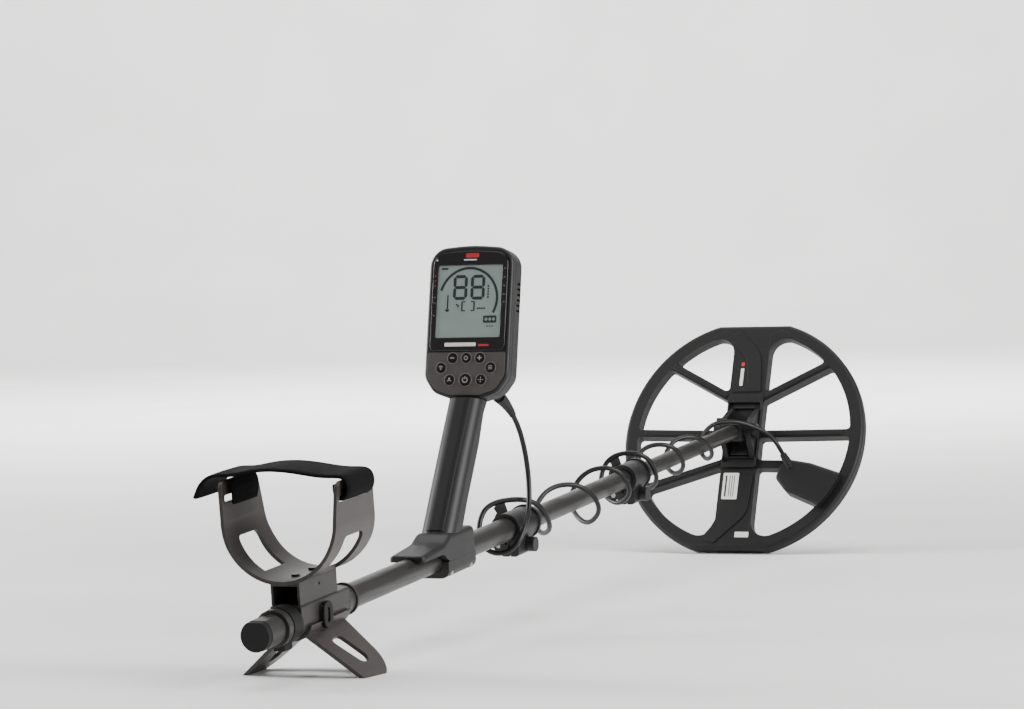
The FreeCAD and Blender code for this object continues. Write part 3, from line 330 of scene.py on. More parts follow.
def turned_steel(name, colour, roughness):
    """Machined and plated steel: fine turning lines that stretch its highlights."""
    material, tree, place = new_material(name)
    lines = add(
        tree, "ShaderNodeTexWave", {"Vector": place, "Scale": WAVE / (0.4 * MM), "Distortion": 2.0},
        wave_type="RINGS",
    )
    shine = add(
        tree,
        "ShaderNodeMapRange",
        {"Value": lines.outputs["Fac"], "To Min": roughness - 0.05, "To Max": roughness + 0.08},
    )
    relief = add(tree, "ShaderNodeBump", {"Height": lines.outputs["Fac"], "Distance": 0.01 * MM})
    finished(
        tree,
        Base_Color=colour,
        Metallic=1.0,
        Roughness=shine.outputs["Result"],
        Normal=relief.outputs["Normal"],
    )
    return material


def circuit_laminate():
    """Glass epoxy laminate under green resist, with copper tracks showing as paler lines."""
    material, tree, place = new_material("green_glass_epoxy")
    tracks = add(
        tree,
        "ShaderNodeTexBrick",
        {
            "Vector": place,
            "Scale": 1 / (8 * MM),
            "Color1": linear("#0d3a22"),
            "Color2": linear("#114429"),
            "Mortar": linear("#2a6b45"),
            "Mortar Size": 0.06,
        },
    )
    finished(tree, Base_Color=tracks.outputs["Color"], Roughness=0.35, IOR=1.55)
    return material


def wound_copper():
    """Enamelled copper wire, wound: fine parallel turns with a warm metallic shine."""
    material, tree, place = new_material("enamelled_copper_wire")
    turns = add(
        tree, "ShaderNodeTexWave", {"Vector": place, "Scale": WAVE / (0.8 * MM)}, bands_direction="Z"
    )
    relief = add(tree, "ShaderNodeBump", {"Height": turns.outputs["Fac"], "Distance": 0.2 * MM})
    finished(
        tree,
        Base_Color=linear("#b0643a"),
        Metallic=1.0,
        Roughness=0.32,
        Normal=relief.outputs["Normal"],
        Coat_Weight=0.5,
    )
    return material


MATERIALS = {
    "carbon": carbon_tube,
    "dark": dark_nylon,
    "grey": grey_nylon,
    "saddle": saddle_nylon,
    "keypad": keypad_nylon,
    "collar": key_collar,
    "coil": coil_abs,
    "rubber": rubber,
    "silicone": silicone,
    "jacket": cable_jacket,
    "strap": neoprene,
    # Stainless screws, and the darker zinc-plated ones of the armrest.
    "steel": lambda: turned_steel("machined_stainless_steel", linear("#a09d99"), 0.3),
    "zinc": lambda: turned_steel("black_zinc_steel", linear("#2e2c2c"), 0.42),
    "laminate": circuit_laminate,
    "copper": wound_copper,
    # Polycarbonate, printed black behind and hard-coated: deep and glossy.
    "glass": lambda: plain(
        "gloss_black_polycarbonate", linear("#161414"), 0.14, 12.0, 0.002,
        IOR=1.58, Coat_Weight=0.5, Coat_Roughness=0.06,
    ),
    # The crystal display behind its cover: grey-green, even and glossy.
    "crystal": lambda: plain(
        "grey_green_crystal", tuple(settings().crystal), 0.3, 20.0, 0.0,
        IOR=1.5, Coat_Weight=0.6, Coat_Roughness=0.08,
    ),
    # Lit segments of the crystal, which darken and do not reflect.
    "segment": lambda: plain("dark_crystal_segment", tuple(settings().segment), 0.45, 6.0, 0.0, IOR=1.4),
    # Screen-printed inks.
    "white_ink": lambda: plain("white_screen_ink", tuple(settings().white_ink), 0.5, 1.5, 0.004, IOR=1.45),
    "grey_ink": lambda: plain("grey_screen_ink", tuple(settings().grey_ink), 0.5, 1.5, 0.004, IOR=1.45),
    "faint_ink": lambda: plain("dark_screen_ink", linear("#4c4846"), 0.5, 1.5, 0.004, IOR=1.45),
    "red_ink": lambda: plain("red_screen_ink", tuple(settings().red_ink), 0.45, 1.5, 0.004, IOR=1.45),
    # Self-adhesive paper-faced film.
    "label": lambda: plain("white_label_film", linear("#dedcd8"), 0.4, 3.0, 0.005, IOR=1.45),
    # Heat-shrunk sleeve on the cell.
    "sleeve": lambda: plain("blue_shrink_sleeve", linear("#1f3f78"), 0.3, 2.0, 0.02, IOR=1.5),
}


def material(key):
    """The material of that key, made when it is first asked for."""
    if key not in made_materials:
        made_materials[key] = MATERIALS[key]()
    return made_materials[key]


made_materials = {}


def dress(key, *nodes):
    """Gives CAD nodes a material."""
    for node in nodes:
        slots = frame["nodes"][node].data.materials
        slots.clear()
        slots.append(material(key))


# --- Mesh helpers -------------------------------------------------------------------------------


def settings():
    return bpy.context.scene.detector_settings


def mesh_piece(name, mesh, place, body, key):
    """An object from a mesh drawn in millimetres in a frame, riding on a body."""
    mesh.transform(place @ Matrix.Scale(MM, 4))
    mesh.materials.clear()
    mesh.materials.append(material(key))
    mesh.shade_smooth()
    mesh.set_sharp_from_angle(angle=math.radians(32))
    piece = bpy.data.objects.new(name, mesh)
    bpy.context.scene.collection.objects.link(piece)
    if body:
        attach(piece, body)
    return piece


def curve_mesh(curve):
    """The mesh of a curve, which is then removed."""
    holder = bpy.data.objects.new("holder", curve)
    mesh = bpy.data.meshes.new_from_object(holder)
    bpy.data.objects.remove(holder)
    bpy.data.curves.remove(curve)
    return mesh


def plate(outlines, low, high, edge=0.0):
    """A flat plate between two heights, with rounded edges; outlines inside another are holes."""
    curve = bpy.data.curves.new("plate", "CURVE")
    curve.dimensions, curve.fill_mode = "2D", "BOTH"
    curve.extrude = (high - low) / 2 - edge
    curve.bevel_depth, curve.bevel_resolution, curve.offset = edge, 2, -edge
    for outline in outlines:
        spline = curve.splines.new("POLY")
        spline.points.add(len(outline) - 1)
        for point, (x, y) in zip(spline.points, outline):
            point.co = (x, y, 0, 1)
        spline.use_cyclic_u = True
    mesh = curve_mesh(curve)
    mesh.transform(Matrix.Translation((0, 0, (high + low) / 2)))
    return mesh


def rounded(corners, steps=8):
    """A closed outline with an arc at each corner that has a radius."""
    outline = []
    count = len(corners)
    for i, (x, y, *radius) in enumerate(corners):
        corner = Vector((x, y))
        if not radius:
            outline.append((x, y))
            continue
        back = (Vector(corners[i - 1][:2]) - corner).normalized()
        on = (Vector(corners[(i + 1) % count][:2]) - corner).normalized()
        half = back.angle(on) / 2
        reach = radius[0] / math.tan(half)
        middle = corner + (back + on).normalized() * (radius[0] / math.sin(half))
        start = corner + back * reach - middle
        sweep = (corner + on * reach - middle).angle_signed(start)
        for k in range(steps + 1):
            turn = Matrix.Rotation(sweep * k / steps, 2)
            outline.append(tuple(middle + turn @ start))
    return outline


def oblong(x, y, length, width, radius=0.0):
    """A rectangle's outline round a middle, with rounded corners."""
    a, b = length / 2, width / 2
    corners = [(x - a, y - b), (x + a, y - b), (x + a, y + b), (x - a, y + b)]
    return rounded([(*c, radius) for c in corners], 4) if radius else corners


def ring_points(x, y, radius, start=0.0, end=360.0, steps=40):
    """Points along a circle's arc; angles are from X towards Y."""
    angles = [math.radians(start + (end - start) * k / steps) for k in range(steps + 1)]
    return [(x + radius * math.cos(a), y + radius * math.sin(a)) for a in angles]


def stroke(points, width):
    """The outline of a pen stroke of one width along open points."""
    left, right = [], []
    for i, point in enumerate(points):
        along = Vector(points[min(i + 1, len(points) - 1)]) - Vector(points[max(i - 1, 0)])
        side = Vector((-along.y, along.x)).normalized() * (width / 2)
        left.append(tuple(Vector(point) + side))
        right.append(tuple(Vector(point) - side))
    return left + right[::-1]


def disc(x, y, radius, steps=40):
    """A circle's outline."""
    return ring_points(x, y, radius, steps=steps)[:-1]


def spline_points(points, order=3, resolution=10):
    """Points along one smooth spline whose control points are given."""
    curve = bpy.data.curves.new("line", "CURVE")
    curve.dimensions = "3D"
    spline = curve.splines.new("NURBS")
    spline.points.add(len(points) - 1)
    for target, point in zip(spline.points, points):
        target.co = (*point, 1)
    spline.order_u = order
    spline.use_endpoint_u = True
    spline.resolution_u = resolution
    mesh = curve_mesh(curve)
    line = [v.co.copy() for v in mesh.vertices]
    bpy.data.meshes.remove(mesh)
    return line


def swept(line, sections):
    """A closed mesh of cross-sections, one at each point of a line; each section is a list of points."""
    count = len(sections[0])
    points = [tuple(p) for section in sections for p in section]
    faces = [
        (i * count + k, i * count + (k + 1) % count, (i + 1) * count + (k + 1) % count, (i + 1) * count + k)
        for i in range(len(line) - 1)
        for k in range(count)
    ]
    faces += [tuple(range(count))[::-1], tuple(range(len(points) - count, len(points)))]
    mesh = bpy.data.meshes.new("swept")
    mesh.from_pydata(points, [], faces)
    mesh.validate()
    return mesh


def tube_sections(line, radius, sides=14):
    """Round sections along a line, turned as little as possible from one to the next."""
    sections = []
    normal = (line[1] - line[0]).orthogonal().normalized()
    for i, point in enumerate(line):
        along = (line[min(i + 1, len(line) - 1)] - line[max(i - 1, 0)]).normalized()
        normal = (normal - along * normal.dot(along)).normalized()
        other = along.cross(normal)
        turns = [math.tau * k / sides for k in range(sides)]
        sections.append([point + (normal * math.cos(a) + other * math.sin(a)) * radius for a in turns])
    return sections


# --- Settings -----------------------------------------------------------------------------------


def colour(name, description, code):
    """A colour property whose default is an sRGB hex value."""
    return FloatVectorProperty(
        name=name, description=description, subtype="COLOR", min=0, max=1, default=linear(code)
    )


class DetectorSettings(bpy.types.PropertyGroup):
    """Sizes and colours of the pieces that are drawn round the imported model."""

    cable_diameter: FloatProperty(
        name="Cable diameter", description="Across the coil's cable", default=5.0 * MM, unit="LENGTH"
    )
    strap_thickness: FloatProperty(
        name="Strap thickness", description="Through the arm strap", default=3.4 * MM, unit="LENGTH"
    )
    ink_thickness: FloatProperty(
        name="Print thickness", description="Height of printed marks", default=0.12 * MM, unit="LENGTH"
    )
    crystal: colour("Display", "Background of the crystal display", "#828f8b")
    segment: colour("Segments", "Dark segments of the crystal display", "#20282a")
    white_ink: colour("White print", "Marks on the display cover and the coil", "#dcd9d5")
    grey_ink: colour("Grey print", "Marks on the keys", "#96918c")
    red_ink: colour("Red print", "Accent marks", "#b3262b")


class StageSettings(bpy.types.PropertyGroup):
    """The floor, the light and the camera."""

    floor: colour("Floor", "Floor and backdrop", "#efefee")
    key_power: FloatProperty(
        name="Key light", description="Soft light from the right", default=120.0, unit="POWER"
    )
    rim_power: FloatProperty(
        name="Rim light", description="Strip light from behind on the left", default=110.0, unit="POWER"
    )
    top_power: FloatProperty(
        name="Top light", description="Broad light from above", default=110.0, unit="POWER"
    )
    back_power: FloatProperty(
        name="Backdrop light", description="Light on the floor and backdrop behind", default=900.0,
        unit="POWER",
    )
    sky: FloatProperty(name="Surroundings", description="Even light from all round", default=0.22, min=0)
    eye: FloatVectorProperty(
        name="Camera place", description="Where the camera stands", subtype="XYZ", unit="LENGTH",
        default=(-3.1164, -1.2439, 0.3490),
    )
    heading: FloatProperty(
        name="Heading", description="Camera's direction from X towards Y", subtype="ANGLE",
        default=math.radians(22.36),
    )
    tilt: FloatProperty(
        name="Tilt", description="Camera's direction above level", subtype="ANGLE",
        default=math.radians(-1.80),
    )
    roll: FloatProperty(
        name="Roll", description="Camera's turn about its own direction", subtype="ANGLE",
        default=math.radians(-1.49),
    )
    lens: FloatProperty(name="Lens", description="Focal length", default=122.1, unit="CAMERA")


# --- Stage --------------------------------------------------------------------------------------


def floor_mesh():
    """A floor that curves up into a backdrop behind the object."""
    near, far, height, bend, half = -14.0, 7.5, 6.0, 1.8, 14.0
    profile = [(near, 0.0)]
    for k in range(17):
        a = math.radians(90 * k / 16)
        profile.append((far + bend * math.sin(a), bend * (1 - math.cos(a))))
    profile.append((far + bend, height))
    turn = Matrix.Rotation(bpy.context.scene.stage_settings.heading, 3, "Z")
    points = [tuple(turn @ Vector((x, side * half, z))) for x, z in profile for side in (-1, 1)]
    faces = [(2 * i, 2 * i + 2, 2 * i + 3, 2 * i + 1) for i in range(len(profile) - 1)]
    mesh = bpy.data.meshes.new("floor")
    mesh.from_pydata(points, [], faces)
    mesh.shade_smooth()
    return mesh


def area_light(name, place, target, width, height, power):
    """A soft rectangular light that faces a point."""
    light = bpy.data.lights.new(name, "AREA")
    light.shape, light.size, light.size_y, light.energy = "RECTANGLE", width, height, power
    lamp = bpy.data.objects.new(name, light)
    lamp.location = place
    lamp.rotation_euler = (Vector(target) - Vector(place)).to_track_quat("-Z", "Y").to_euler()
    bpy.context.scene.collection.objects.link(lamp)


class DETECTOR_OT_stage(bpy.types.Operator):
    """Make the camera, the floor with its backdrop, and soft studio light"""

    bl_idname = "detector.stage"
    bl_label = "Stage"

    def execute(self, context):
        stage = context.scene.stage_settings
        camera = bpy.data.objects.new("camera", bpy.data.cameras.new("camera"))
        camera.data.lens, camera.data.sensor_width = stage.lens, 36.0
        camera.data.clip_end = 50.0
        turn = Matrix.Rotation(stage.heading - math.pi / 2, 4, "Z")
        turn @= Matrix.Rotation(math.pi / 2 + stage.tilt, 4, "X") @ Matrix.Rotation(stage.roll, 4, "Z")
        camera.matrix_world = Matrix.Translation(stage.eye) @ turn
        context.scene.collection.objects.link(camera)
        context.scene.camera = camera

        mesh = floor_mesh()
        mesh.materials.append(plain("matt_pale_floor", tuple(stage.floor), 0.7, 400.0, 0.0))
        floor = bpy.data.objects.new("floor", mesh)
        context.scene.collection.objects.link(floor)

        low, high = CAD_BOX
        middle = (low + high) / 2
        area_light("key_light", (-0.4, -2.6, 1.2), middle, 1.6, 1.4, stage.key_power)
        area_light("rim_light", (-0.4, 2.6, 1.0), middle, 0.8, 2.0, stage.rim_power)
        area_light("top_light", (0.4, 0.2, 3.2), middle, 3.0, 3.0, stage.top_power)
        area_light("back_light", (3.2, 1.3, 3.6), (7.2, 2.9, 0.4), 4.0, 2.5, stage.back_power)
        world = bpy.data.worlds.new("studio")
        world.use_nodes = True
        world.node_tree.nodes["Background"].inputs["Strength"].default_value = stage.sky
        world.node_tree.nodes["Background"].inputs["Color"].default_value = (1, 1, 1, 1)
        context.scene.world = world
        return {"FINISHED"}


# --- Cable --------------------------------------------------------------------------------------

# From the connector forward and down on the right, once under the tube and up on the left, in
# millimetres of the shaft's frame.
SOCKET_AT, SOCKET_WAY = Vector((-74, -12, -21)), Vector((-0.2, 0, -1)).normalized()
HANGING = [
    (543, -12.5, 97), (554, -13.5, 71), (556, -15, 44), (546, -18, 19), (528, -20, 3), (514, -16, -14),
    (508, 0, -21), (511, 18, -14), (521, 25, 6), (536, 18.7, 25.5),
]
# Each wrap round the shaft: station and radius of its top, and radius of its pass under the tubes.
WRAPS = [
    (551, 26, 17), (683, 18.5, 26), (786, 20, 20), (859, 26, 18.5), (956, 20.5, 16), (1042, 15.6, 15.6),
    (1166, 16, 0),
]
POINTS_PER_WRAP = 5
# Over the end of the shaft and down to the boot on the coil's wing, in the coil's frame.
BOOT_TIP, BOOT_ROOT = Vector((-24, -52.5, 14.6)), Vector((-40, -62.5, 10.5))
BOOT_WAY = (BOOT_ROOT - BOOT_TIP).normalized()
LANDING = [
    Vector((-1, -8, 60)), Vector((-2, -25, 44)), Vector((-5, -38, 29)), BOOT_TIP - BOOT_WAY * 15, BOOT_TIP,
]


def in_row(place, point):
    """A point in millimetres of a frame, as a place in the row's frame."""
    return place @ (Vector(point) * MM)


def wrap_points():
    """The wraps' points: the helix runs from the left over the top to the right and under."""
    points = []
    for (start, top, under), (end, next_top, _) in zip(WRAPS, WRAPS[1:]):
        for k in range(POINTS_PER_WRAP):
            share = (k + 0.5) / POINTS_PER_WRAP
            turn = math.radians(90 + 360 * share)
            ends = top + (next_top - top) * share
            low = math.sin(math.pi * share) ** 2
            radius = (ends * (1 - low) + under * low) / math.cos(math.pi / POINTS_PER_WRAP)
            points.append((start + (end - start) * share, radius * math.cos(turn), radius * math.sin(turn)))
    return points


def cable_stretches():
    """The route's control points, divided in the middle of three of its runs."""
    drop = [in_row(POD, SOCKET_AT + SOCKET_WAY * 33), in_row(POD, SOCKET_AT + SOCKET_WAY * 52)]
    drop += [in_row(SHAFT, p) for p in HANGING]
    route = drop + [in_row(SHAFT, p) for p in wrap_points()] + [in_row(COIL, p) for p in LANDING]
    divisions = [len(drop) - 1 + POINTS_PER_WRAP * i for i in (0, 3, 6)]
    stretches, first = [], [route[0]]
    last = 0
    for division in divisions:
        middle = (route[division] + route[division + 1]) / 2
        stretches.append(first + route[last + 1 : division + 1] + [middle])
        first, last = [middle], division
    stretches.append(first + route[last + 1 :])
    return stretches


class DETECTOR_OT_cable(bpy.types.Operator):
    """Lay the coil's cable in four stretches, the first riding on the handle and the rest fixed in place, and
    the sleeve at its start
    """

    bl_idname = "detector.cable"
    bl_label = "Cable"

    # name, the bodies it goes between, and its real length in metres
    STRETCHES = (
        ("cable_upper", ("handle_frame",), 0.281),
        ("cable_middle", ("handle_frame", "middle_stage"), 0.523),
        ("cable_lower", ("middle_stage", "lower_stage"), 0.468),
        ("cable_end", ("lower_stage", "coil"), 0.087),
    )

    def execute(self, context):
        diameter = settings().cable_diameter
        for (name, bodies, length), points in zip(self.STRETCHES, cable_stretches()):
            line = spline_points(points, resolution=8)
            mesh = swept(line, tube_sections(line, diameter / 2))
            mesh.transform(Matrix.Scale(1 / MM, 4))
            piece = mesh_piece(f"{name}_jacket", mesh, Matrix.Identity(4), None, "jacket")
            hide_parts(name)
            if len(bodies) == 1:
                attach(piece, bodies[0])
            else:
                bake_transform(piece)
            if name == "cable_upper":
                self.relieve(line)
        return {"FINISHED"}

    def relieve(self, line):
        """A tapered sleeve round the cable's start, where it bends away from the connector."""
        length, wide, narrow = 40.0, 6.2, 3.3  # mm; its length and its radius at either end
        reach = [point for point in line if (point - line[0]).length < length * MM]
        sections = tube_sections(reach, 1.0)
        for i, (point, section) in enumerate(zip(reach, sections)):
            radius = (wide + (narrow - wide) * i / (len(reach) - 1)) * MM
            sections[i] = [point + (p - point) * radius for p in section]
        mesh = swept(reach, sections)
        mesh.transform(Matrix.Scale(1 / MM, 4))
        mesh_piece("cable_relief", mesh, Matrix.Identity(4), "handle_frame", "rubber")


# --- Tubes and locks ----------------------------------------------------------------------------


class DETECTOR_OT_shaft(bpy.types.Operator):
    """Finish the tubes, their glides, the locks and the lower end"""

    bl_idname = "detector.shaft"
    bl_label = "Shaft and locks"

    def execute(self, context):
        dress("carbon", "upper_tube", "middle_tube", "lower_tube")
        dress("dark", "middle_tube_glide", "lower_tube_glide", "tube_knuckle")
        dress("rubber", "end_cap", "friction_washers")
        for stage in ("upper", "lower"):
            dress("dark", f"{stage}_lock_collar", f"{stage}_lock_lever", f"{stage}_lock_nut")
            dress("steel", f"{stage}_lock_bolt")
        return {"FINISHED"}


# --- Armrest ------------------------------------------------------------------------------------


class DETECTOR_OT_armrest(bpy.types.Operator):
    """Finish the armrest and the stand, and add the clip's oval catch"""

    bl_idname = "detector.armrest"
    bl_label = "Armrest and stand"

    def execute(self, context):
        # The stand is black plastic. The cuff's lighter grey on it is painted light: the grey that light from
        # above gives it.
        dress("grey", "arm_cuff", "stand")
        dress("saddle", "armrest_saddle", "armrest_riser", "armrest_front_collar")
        dress("rubber", "armrest_clamp_ring")
        dress("zinc", "armrest_screws")
        # The oval catch stands on the saddle's right side, over the stand clip's hook.
        right = SHAFT @ Matrix.Translation(Vector((99, -17.1, 0)) * MM) @ Matrix.Rotation(math.pi / 2, 4, "X")
        outer, slot = oblong(0, 0, 17, 23, 8), oblong(0, 0, 5.4, 12, 2.6)
        catch = plate([outer, slot], -1.4, 1.9, 0.6)
        mesh_piece("stand_catch", catch, right, "handle_frame", "rubber")
        return {"FINISHED"}


# --- Strap --------------------------------------------------------------------------------------

STRAP_START, STRAP_WIDTH = 62.0, 52.0
STRAP_LINE = [
    (81, 101), (77, 109), (71, 116.4), (61, 120.6), (50, 120), (40, 121.2), (28, 123.8), (14, 125),
    (0, 124.6), (-14, 122.9), (-28, 120.6), (-40, 119.4), (-50, 119.8), (-57.2, 118.6), (-60, 112),
    (-58.8, 104.6), (-54.6, 101.0), (-49, 101.2), (-46.4, 106), (-46, 112.6),
]
# The strap's other end comes back through the left arm's slot and hangs inside the arm.
FLAP_LINE = [(47.2, 118), (45.4, 113.4), (44.8, 107.5), (45.2, 101.5), (46, 96.5)]


# Half of a section through the band, in shares of its half width and half thickness: its edges are
# thinner, and two sewn grooves run near them. The other half is the same, turned over.
BAND_PROFILE = [
    (1.0, 0.0), (0.985, 0.6), (0.95, 0.85), (0.88, 0.95), (0.865, 0.68), (0.85, 0.95), (0.6, 1.06),
    (0.0, 1.12), (-0.6, 1.06), (-0.85, 0.95), (-0.865, 0.68), (-0.88, 0.95), (-0.95, 0.85), (-0.985, 0.6),
]
BAND_PROFILE += [(-a, -b) for a, b in BAND_PROFILE]


def band_sections(line, width, thickness, waist):
    """Sections of a band across the shaft, which narrows by a share of its width at its free ends."""
    middle = STRAP_START + STRAP_WIDTH / 2
    sections = []
    for i, point in enumerate(line):
        along = (line[min(i + 1, len(line) - 1)] - line[max(i - 1, 0)]).normalized()
        side = Vector((0, -along.z, along.y))
        ends = min(i, len(line) - 1 - i) / 10
        half = width / 2 * (1 - waist * max(0.0, 1 - ends) ** 2)
        sections.append(
            [
                Vector((middle + half * a, point.y, point.z)) + side * (thickness / 2 * b)
                for a, b in BAND_PROFILE
            ]
        )
    return sections


class DETECTOR_OT_strap(bpy.types.Operator):
    """Sew the neoprene strap that arches over the arm, and its flap"""

    bl_idname = "detector.strap"
    bl_label = "Arm strap"

    def execute(self, context):
        thick = settings().strap_thickness / MM
        line = spline_points([(0, y, z) for y, z in STRAP_LINE], order=4, resolution=6)
        band = swept(line, band_sections(line, STRAP_WIDTH, thick, 0.12))
        strap = mesh_piece("strap_band", band, SHAFT, "handle_frame", "strap")
        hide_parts("arm_strap")
        line = spline_points([(0, y, z) for y, z in FLAP_LINE], order=4, resolution=6)
        flap = swept(line, band_sections(line, STRAP_WIDTH - 4, thick * 0.8, 0.1))
        flap = mesh_piece("strap_flap", flap, SHAFT, "handle_frame", "strap")
        return {"FINISHED"}


# --- Grip ---------------------------------------------------------------------------------------


class DETECTOR_OT_grip(bpy.types.Operator):
    """Finish the grip, its soft strip, whose blacker colour is painted shade, and the clamp under the tube"""

    bl_idname = "detector.grip"
    bl_label = "Grip"

    def execute(self, context):
        dress("dark", "grip_left_shell", "grip_right_shell", "grip_clamp")
        # The soft strip down the grip's back is given the blacker elastomer, darker than the shells: painted
        # shade, standing for the pod's shadow down the middle of the grip.
        dress("rubber", "grip_soft_strip")
        dress("steel", "grip_clamp_screws")
        dress("sleeve", "battery_cell")
        return {"FINISHED"}


# --- Control pod --------------------------------------------------------------------------------

BEZEL_SIDE, BEZEL_TOP, BEZEL_LOW = 37.0, 47.3, -45.8
SCREEN_UP, SCREEN_ACROSS = 33.5, 31.5  # half of the display's length and width


def printed(name, outlines, level, key, body="handle_frame", place=None):
    """Ink on a flat face at a level of a frame, the pod's unless another is given."""
    mesh = plate(outlines, level, level + settings().ink_thickness / MM)
    return mesh_piece(name, mesh, place or POD, body, key)


class DETECTOR_OT_pod(bpy.types.Operator):
    """Finish the pod's shells and fittings, and the parts that they hold"""

    bl_idname = "detector.pod"
    bl_label = "Control pod"

    def execute(self, context):
        dress("dark", "pod_front_shell", "pod_rear_shell", "cable_socket")
        dress("rubber", "pod_gasket", "port_cover", "connector_ring")
        dress("steel", "pod_screws")
        dress("zinc", "speaker")
        dress("laminate", "circuit_board")
        return {"FINISHED"}


class DETECTOR_OT_cover(bpy.types.Operator):
    """Make the gloss cover round the display, with plain printed marks in place of lettering"""

    bl_idname = "detector.cover"
    bl_label = "Display cover"

    def execute(self, context):
        outline = rounded(
            [
                (BEZEL_TOP, 0, 160), (44.6, BEZEL_SIDE, 12), (BEZEL_LOW, BEZEL_SIDE, 5),
                (BEZEL_LOW, -BEZEL_SIDE, 5), (44.6, -BEZEL_SIDE, 12),
            ]
        )
        opening = oblong(0, 0, 2 * SCREEN_UP, 2 * SCREEN_ACROSS, 1.2)
        cover = plate([outline, opening], -2.5, 0.0, 0.35)
        cover = mesh_piece("display_cover", cover, POD, "handle_frame", "glass")
        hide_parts("display_window")
        # A plain red bar over a thin white one at the top, and two bars under the display.
        red = [oblong(42.6, -1.5, 4.2, 13, 1.2), oblong(-40.8, -16.5, 1.8, 10.5, 0.5)]
        printed("cover_red_mark", red, 0.0, "red_ink")
        white = [oblong(38.6, 0.5, 1.1, 13, 0.4), oblong(-40.0, 6.6, 3.4, 31, 0.8)]
        printed("cover_white_mark", white, 0.0, "white_ink")
        # Small status marks down both sides of the display, and the lamp at its top left.
        lamps = [disc(x, 34.3, 0.55, 12) for x in (24, 19.5, 15)]
        printed("cover_left_lamps", lamps, 0.0, "red_ink")
        ticks = [oblong(x, 34.3, 1.5, 1.8, 0.5) for x in (4, -1, -13)]
        ticks += [oblong(x, -34.3, 1.6, 2.0, 0.5) for x in (30, 22, 14, 6, -1)]
        printed("cover_side_marks", ticks, 0.0, "faint_ink")
        printed("cover_lamp", [disc(38.6, 33.5, 0.8, 16)], 0.0, "white_ink")
        return {"FINISHED"}


def segment(start, end, pen):
    """One straight segment of a digit, with pointed ends that leave a gap at the corners."""
    start, end = Vector(start), Vector(end)
    along = (end - start).normalized()
    side = Vector((-along.y, along.x)) * (pen / 2)
    first, last = start + along * 0.25, end - along * 0.25
    near, far = first + along * (pen / 2), last - along * (pen / 2)
    return [tuple(p) for p in (first, near + side, far + side, last, far - side, near - side)]


def digit_strokes(up, left):
    """The seven segments of one digit whose top left corner is given, running 23 down and 14 right."""
    high, wide, pen = 23.0, 14.0, 2.8
    rows = (up - pen / 2, up - high / 2, up - high + pen / 2)
    columns = (left - pen / 2, left - wide + pen / 2)
    strokes = [segment((row, columns[0]), (row, columns[1]), pen) for row in rows]
    for top, low in zip(rows, rows[1:]):
        strokes += [segment((top, column), (low, column), pen) for column in columns]
    return strokes


class DETECTOR_OT_display(bpy.types.Operator):
    """Make the crystal display with its digits, arc, bars and brackets"""

    bl_idname = "detector.display"
    bl_label = "Display"

    def execute(self, context):
        glass = plate([oblong(0, 0, 2 * SCREEN_UP, 2 * SCREEN_ACROSS)], -2.2, -0.7)
        glass = mesh_piece("crystal_panel", glass, POD, "handle_frame", "crystal")
        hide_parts("lcd_panel")
        level = -0.69
        # X is up the display and Y to its left.
        for name, left in (("tens", 16.4), ("units", -0.9)):
            printed(f"digit_{name}", digit_strokes(24.5, left), level, "segment")
        arc = stroke(ring_points(2.5, 1.0, 28.4, 74, -118, steps=48), 2.3)
        printed("signal_arc", [arc], level, "segment")
        battery = [oblong(30.6, 25.8, 1.7, 6.0, 0.4), oblong(30.6, 22.2, 0.9, 0.8)]
        gauge = [oblong(-0.5, 21.4, 13.5, 1.3, 0.5), oblong(-8.0, 21.6, 2.6, 3.4, 0.8)]
        printed("battery_and_gauge", battery + gauge, level, "segment")
        brackets = []
        for side in (1, -1):
            edge = 1.0 + side * 6.0
            brackets.append(
                stroke([(-0.3, edge - side * 3), (-0.3, edge), (-8.6, edge), (-8.6, edge - side * 3)], 1.5)
            )
        printed("bracket_pair", brackets, level, "segment")
        marks = [stroke([(-2.5, 13.0), (-4.2, 10.2), (-5.4, 11.6)], 1.3)]
        marks += [oblong(-6.6, -8.6 - 2.2 * k, 1.5, 1.6) for k in range(4)]
        marks += [oblong(14 - 2.6 * k, -18.4, 1.8, 1.5) for k in range(5)]
        printed("small_marks", marks, level, "segment")
        block = [oblong(-16.8, -21.2, 6.6, 13.0, 0.8)]
        block += [disc(-16.8, y, 1.5, 16) for y in (-17.6, -21.4, -25)]
        printed("mode_block", block, level, "segment")
        printed("mode_dots", [disc(-23.2, y, 0.7, 12) for y in (-19, -21.5, -24)], level, "segment")
        return {"FINISHED"}


# --- Keypad -------------------------------------------------------------------------------------

# Each key: how far up the face and to the left, and the radius of its cap.
KEYS = {
    "minus": (-52.5, 13.5, 4.3), "accept": (-52.5, 0.0, 4.3), "plus": (-52.5, -13.5, 4.3),
    "detect": (-61.5, 24.5, 4.3), "settings": (-61.5, -24.5, 4.3), "profile": (-72.7, 15.5, 4.3),
    "power": (-72.7, 0.0, 5.3), "locate": (-72.7, -15.5, 4.3),
}
KEY_TOP = 0.4  # the caps' level over the cover
KEYPAD = -0.8  # the keypad's level
# The keypad's face follows the chin's taper, inside the shell's dark edge.
KEYPAD_FACE = [
    (-47.2, 38.4, 2), (-47.2, -38.4, 2), (-69, -38.4, 12), (-81.8, -29.6, 14),
    (-86.6, -14, 10), (-86.6, 14, 10), (-81.8, 29.6, 14), (-69, 38.4, 12),
]


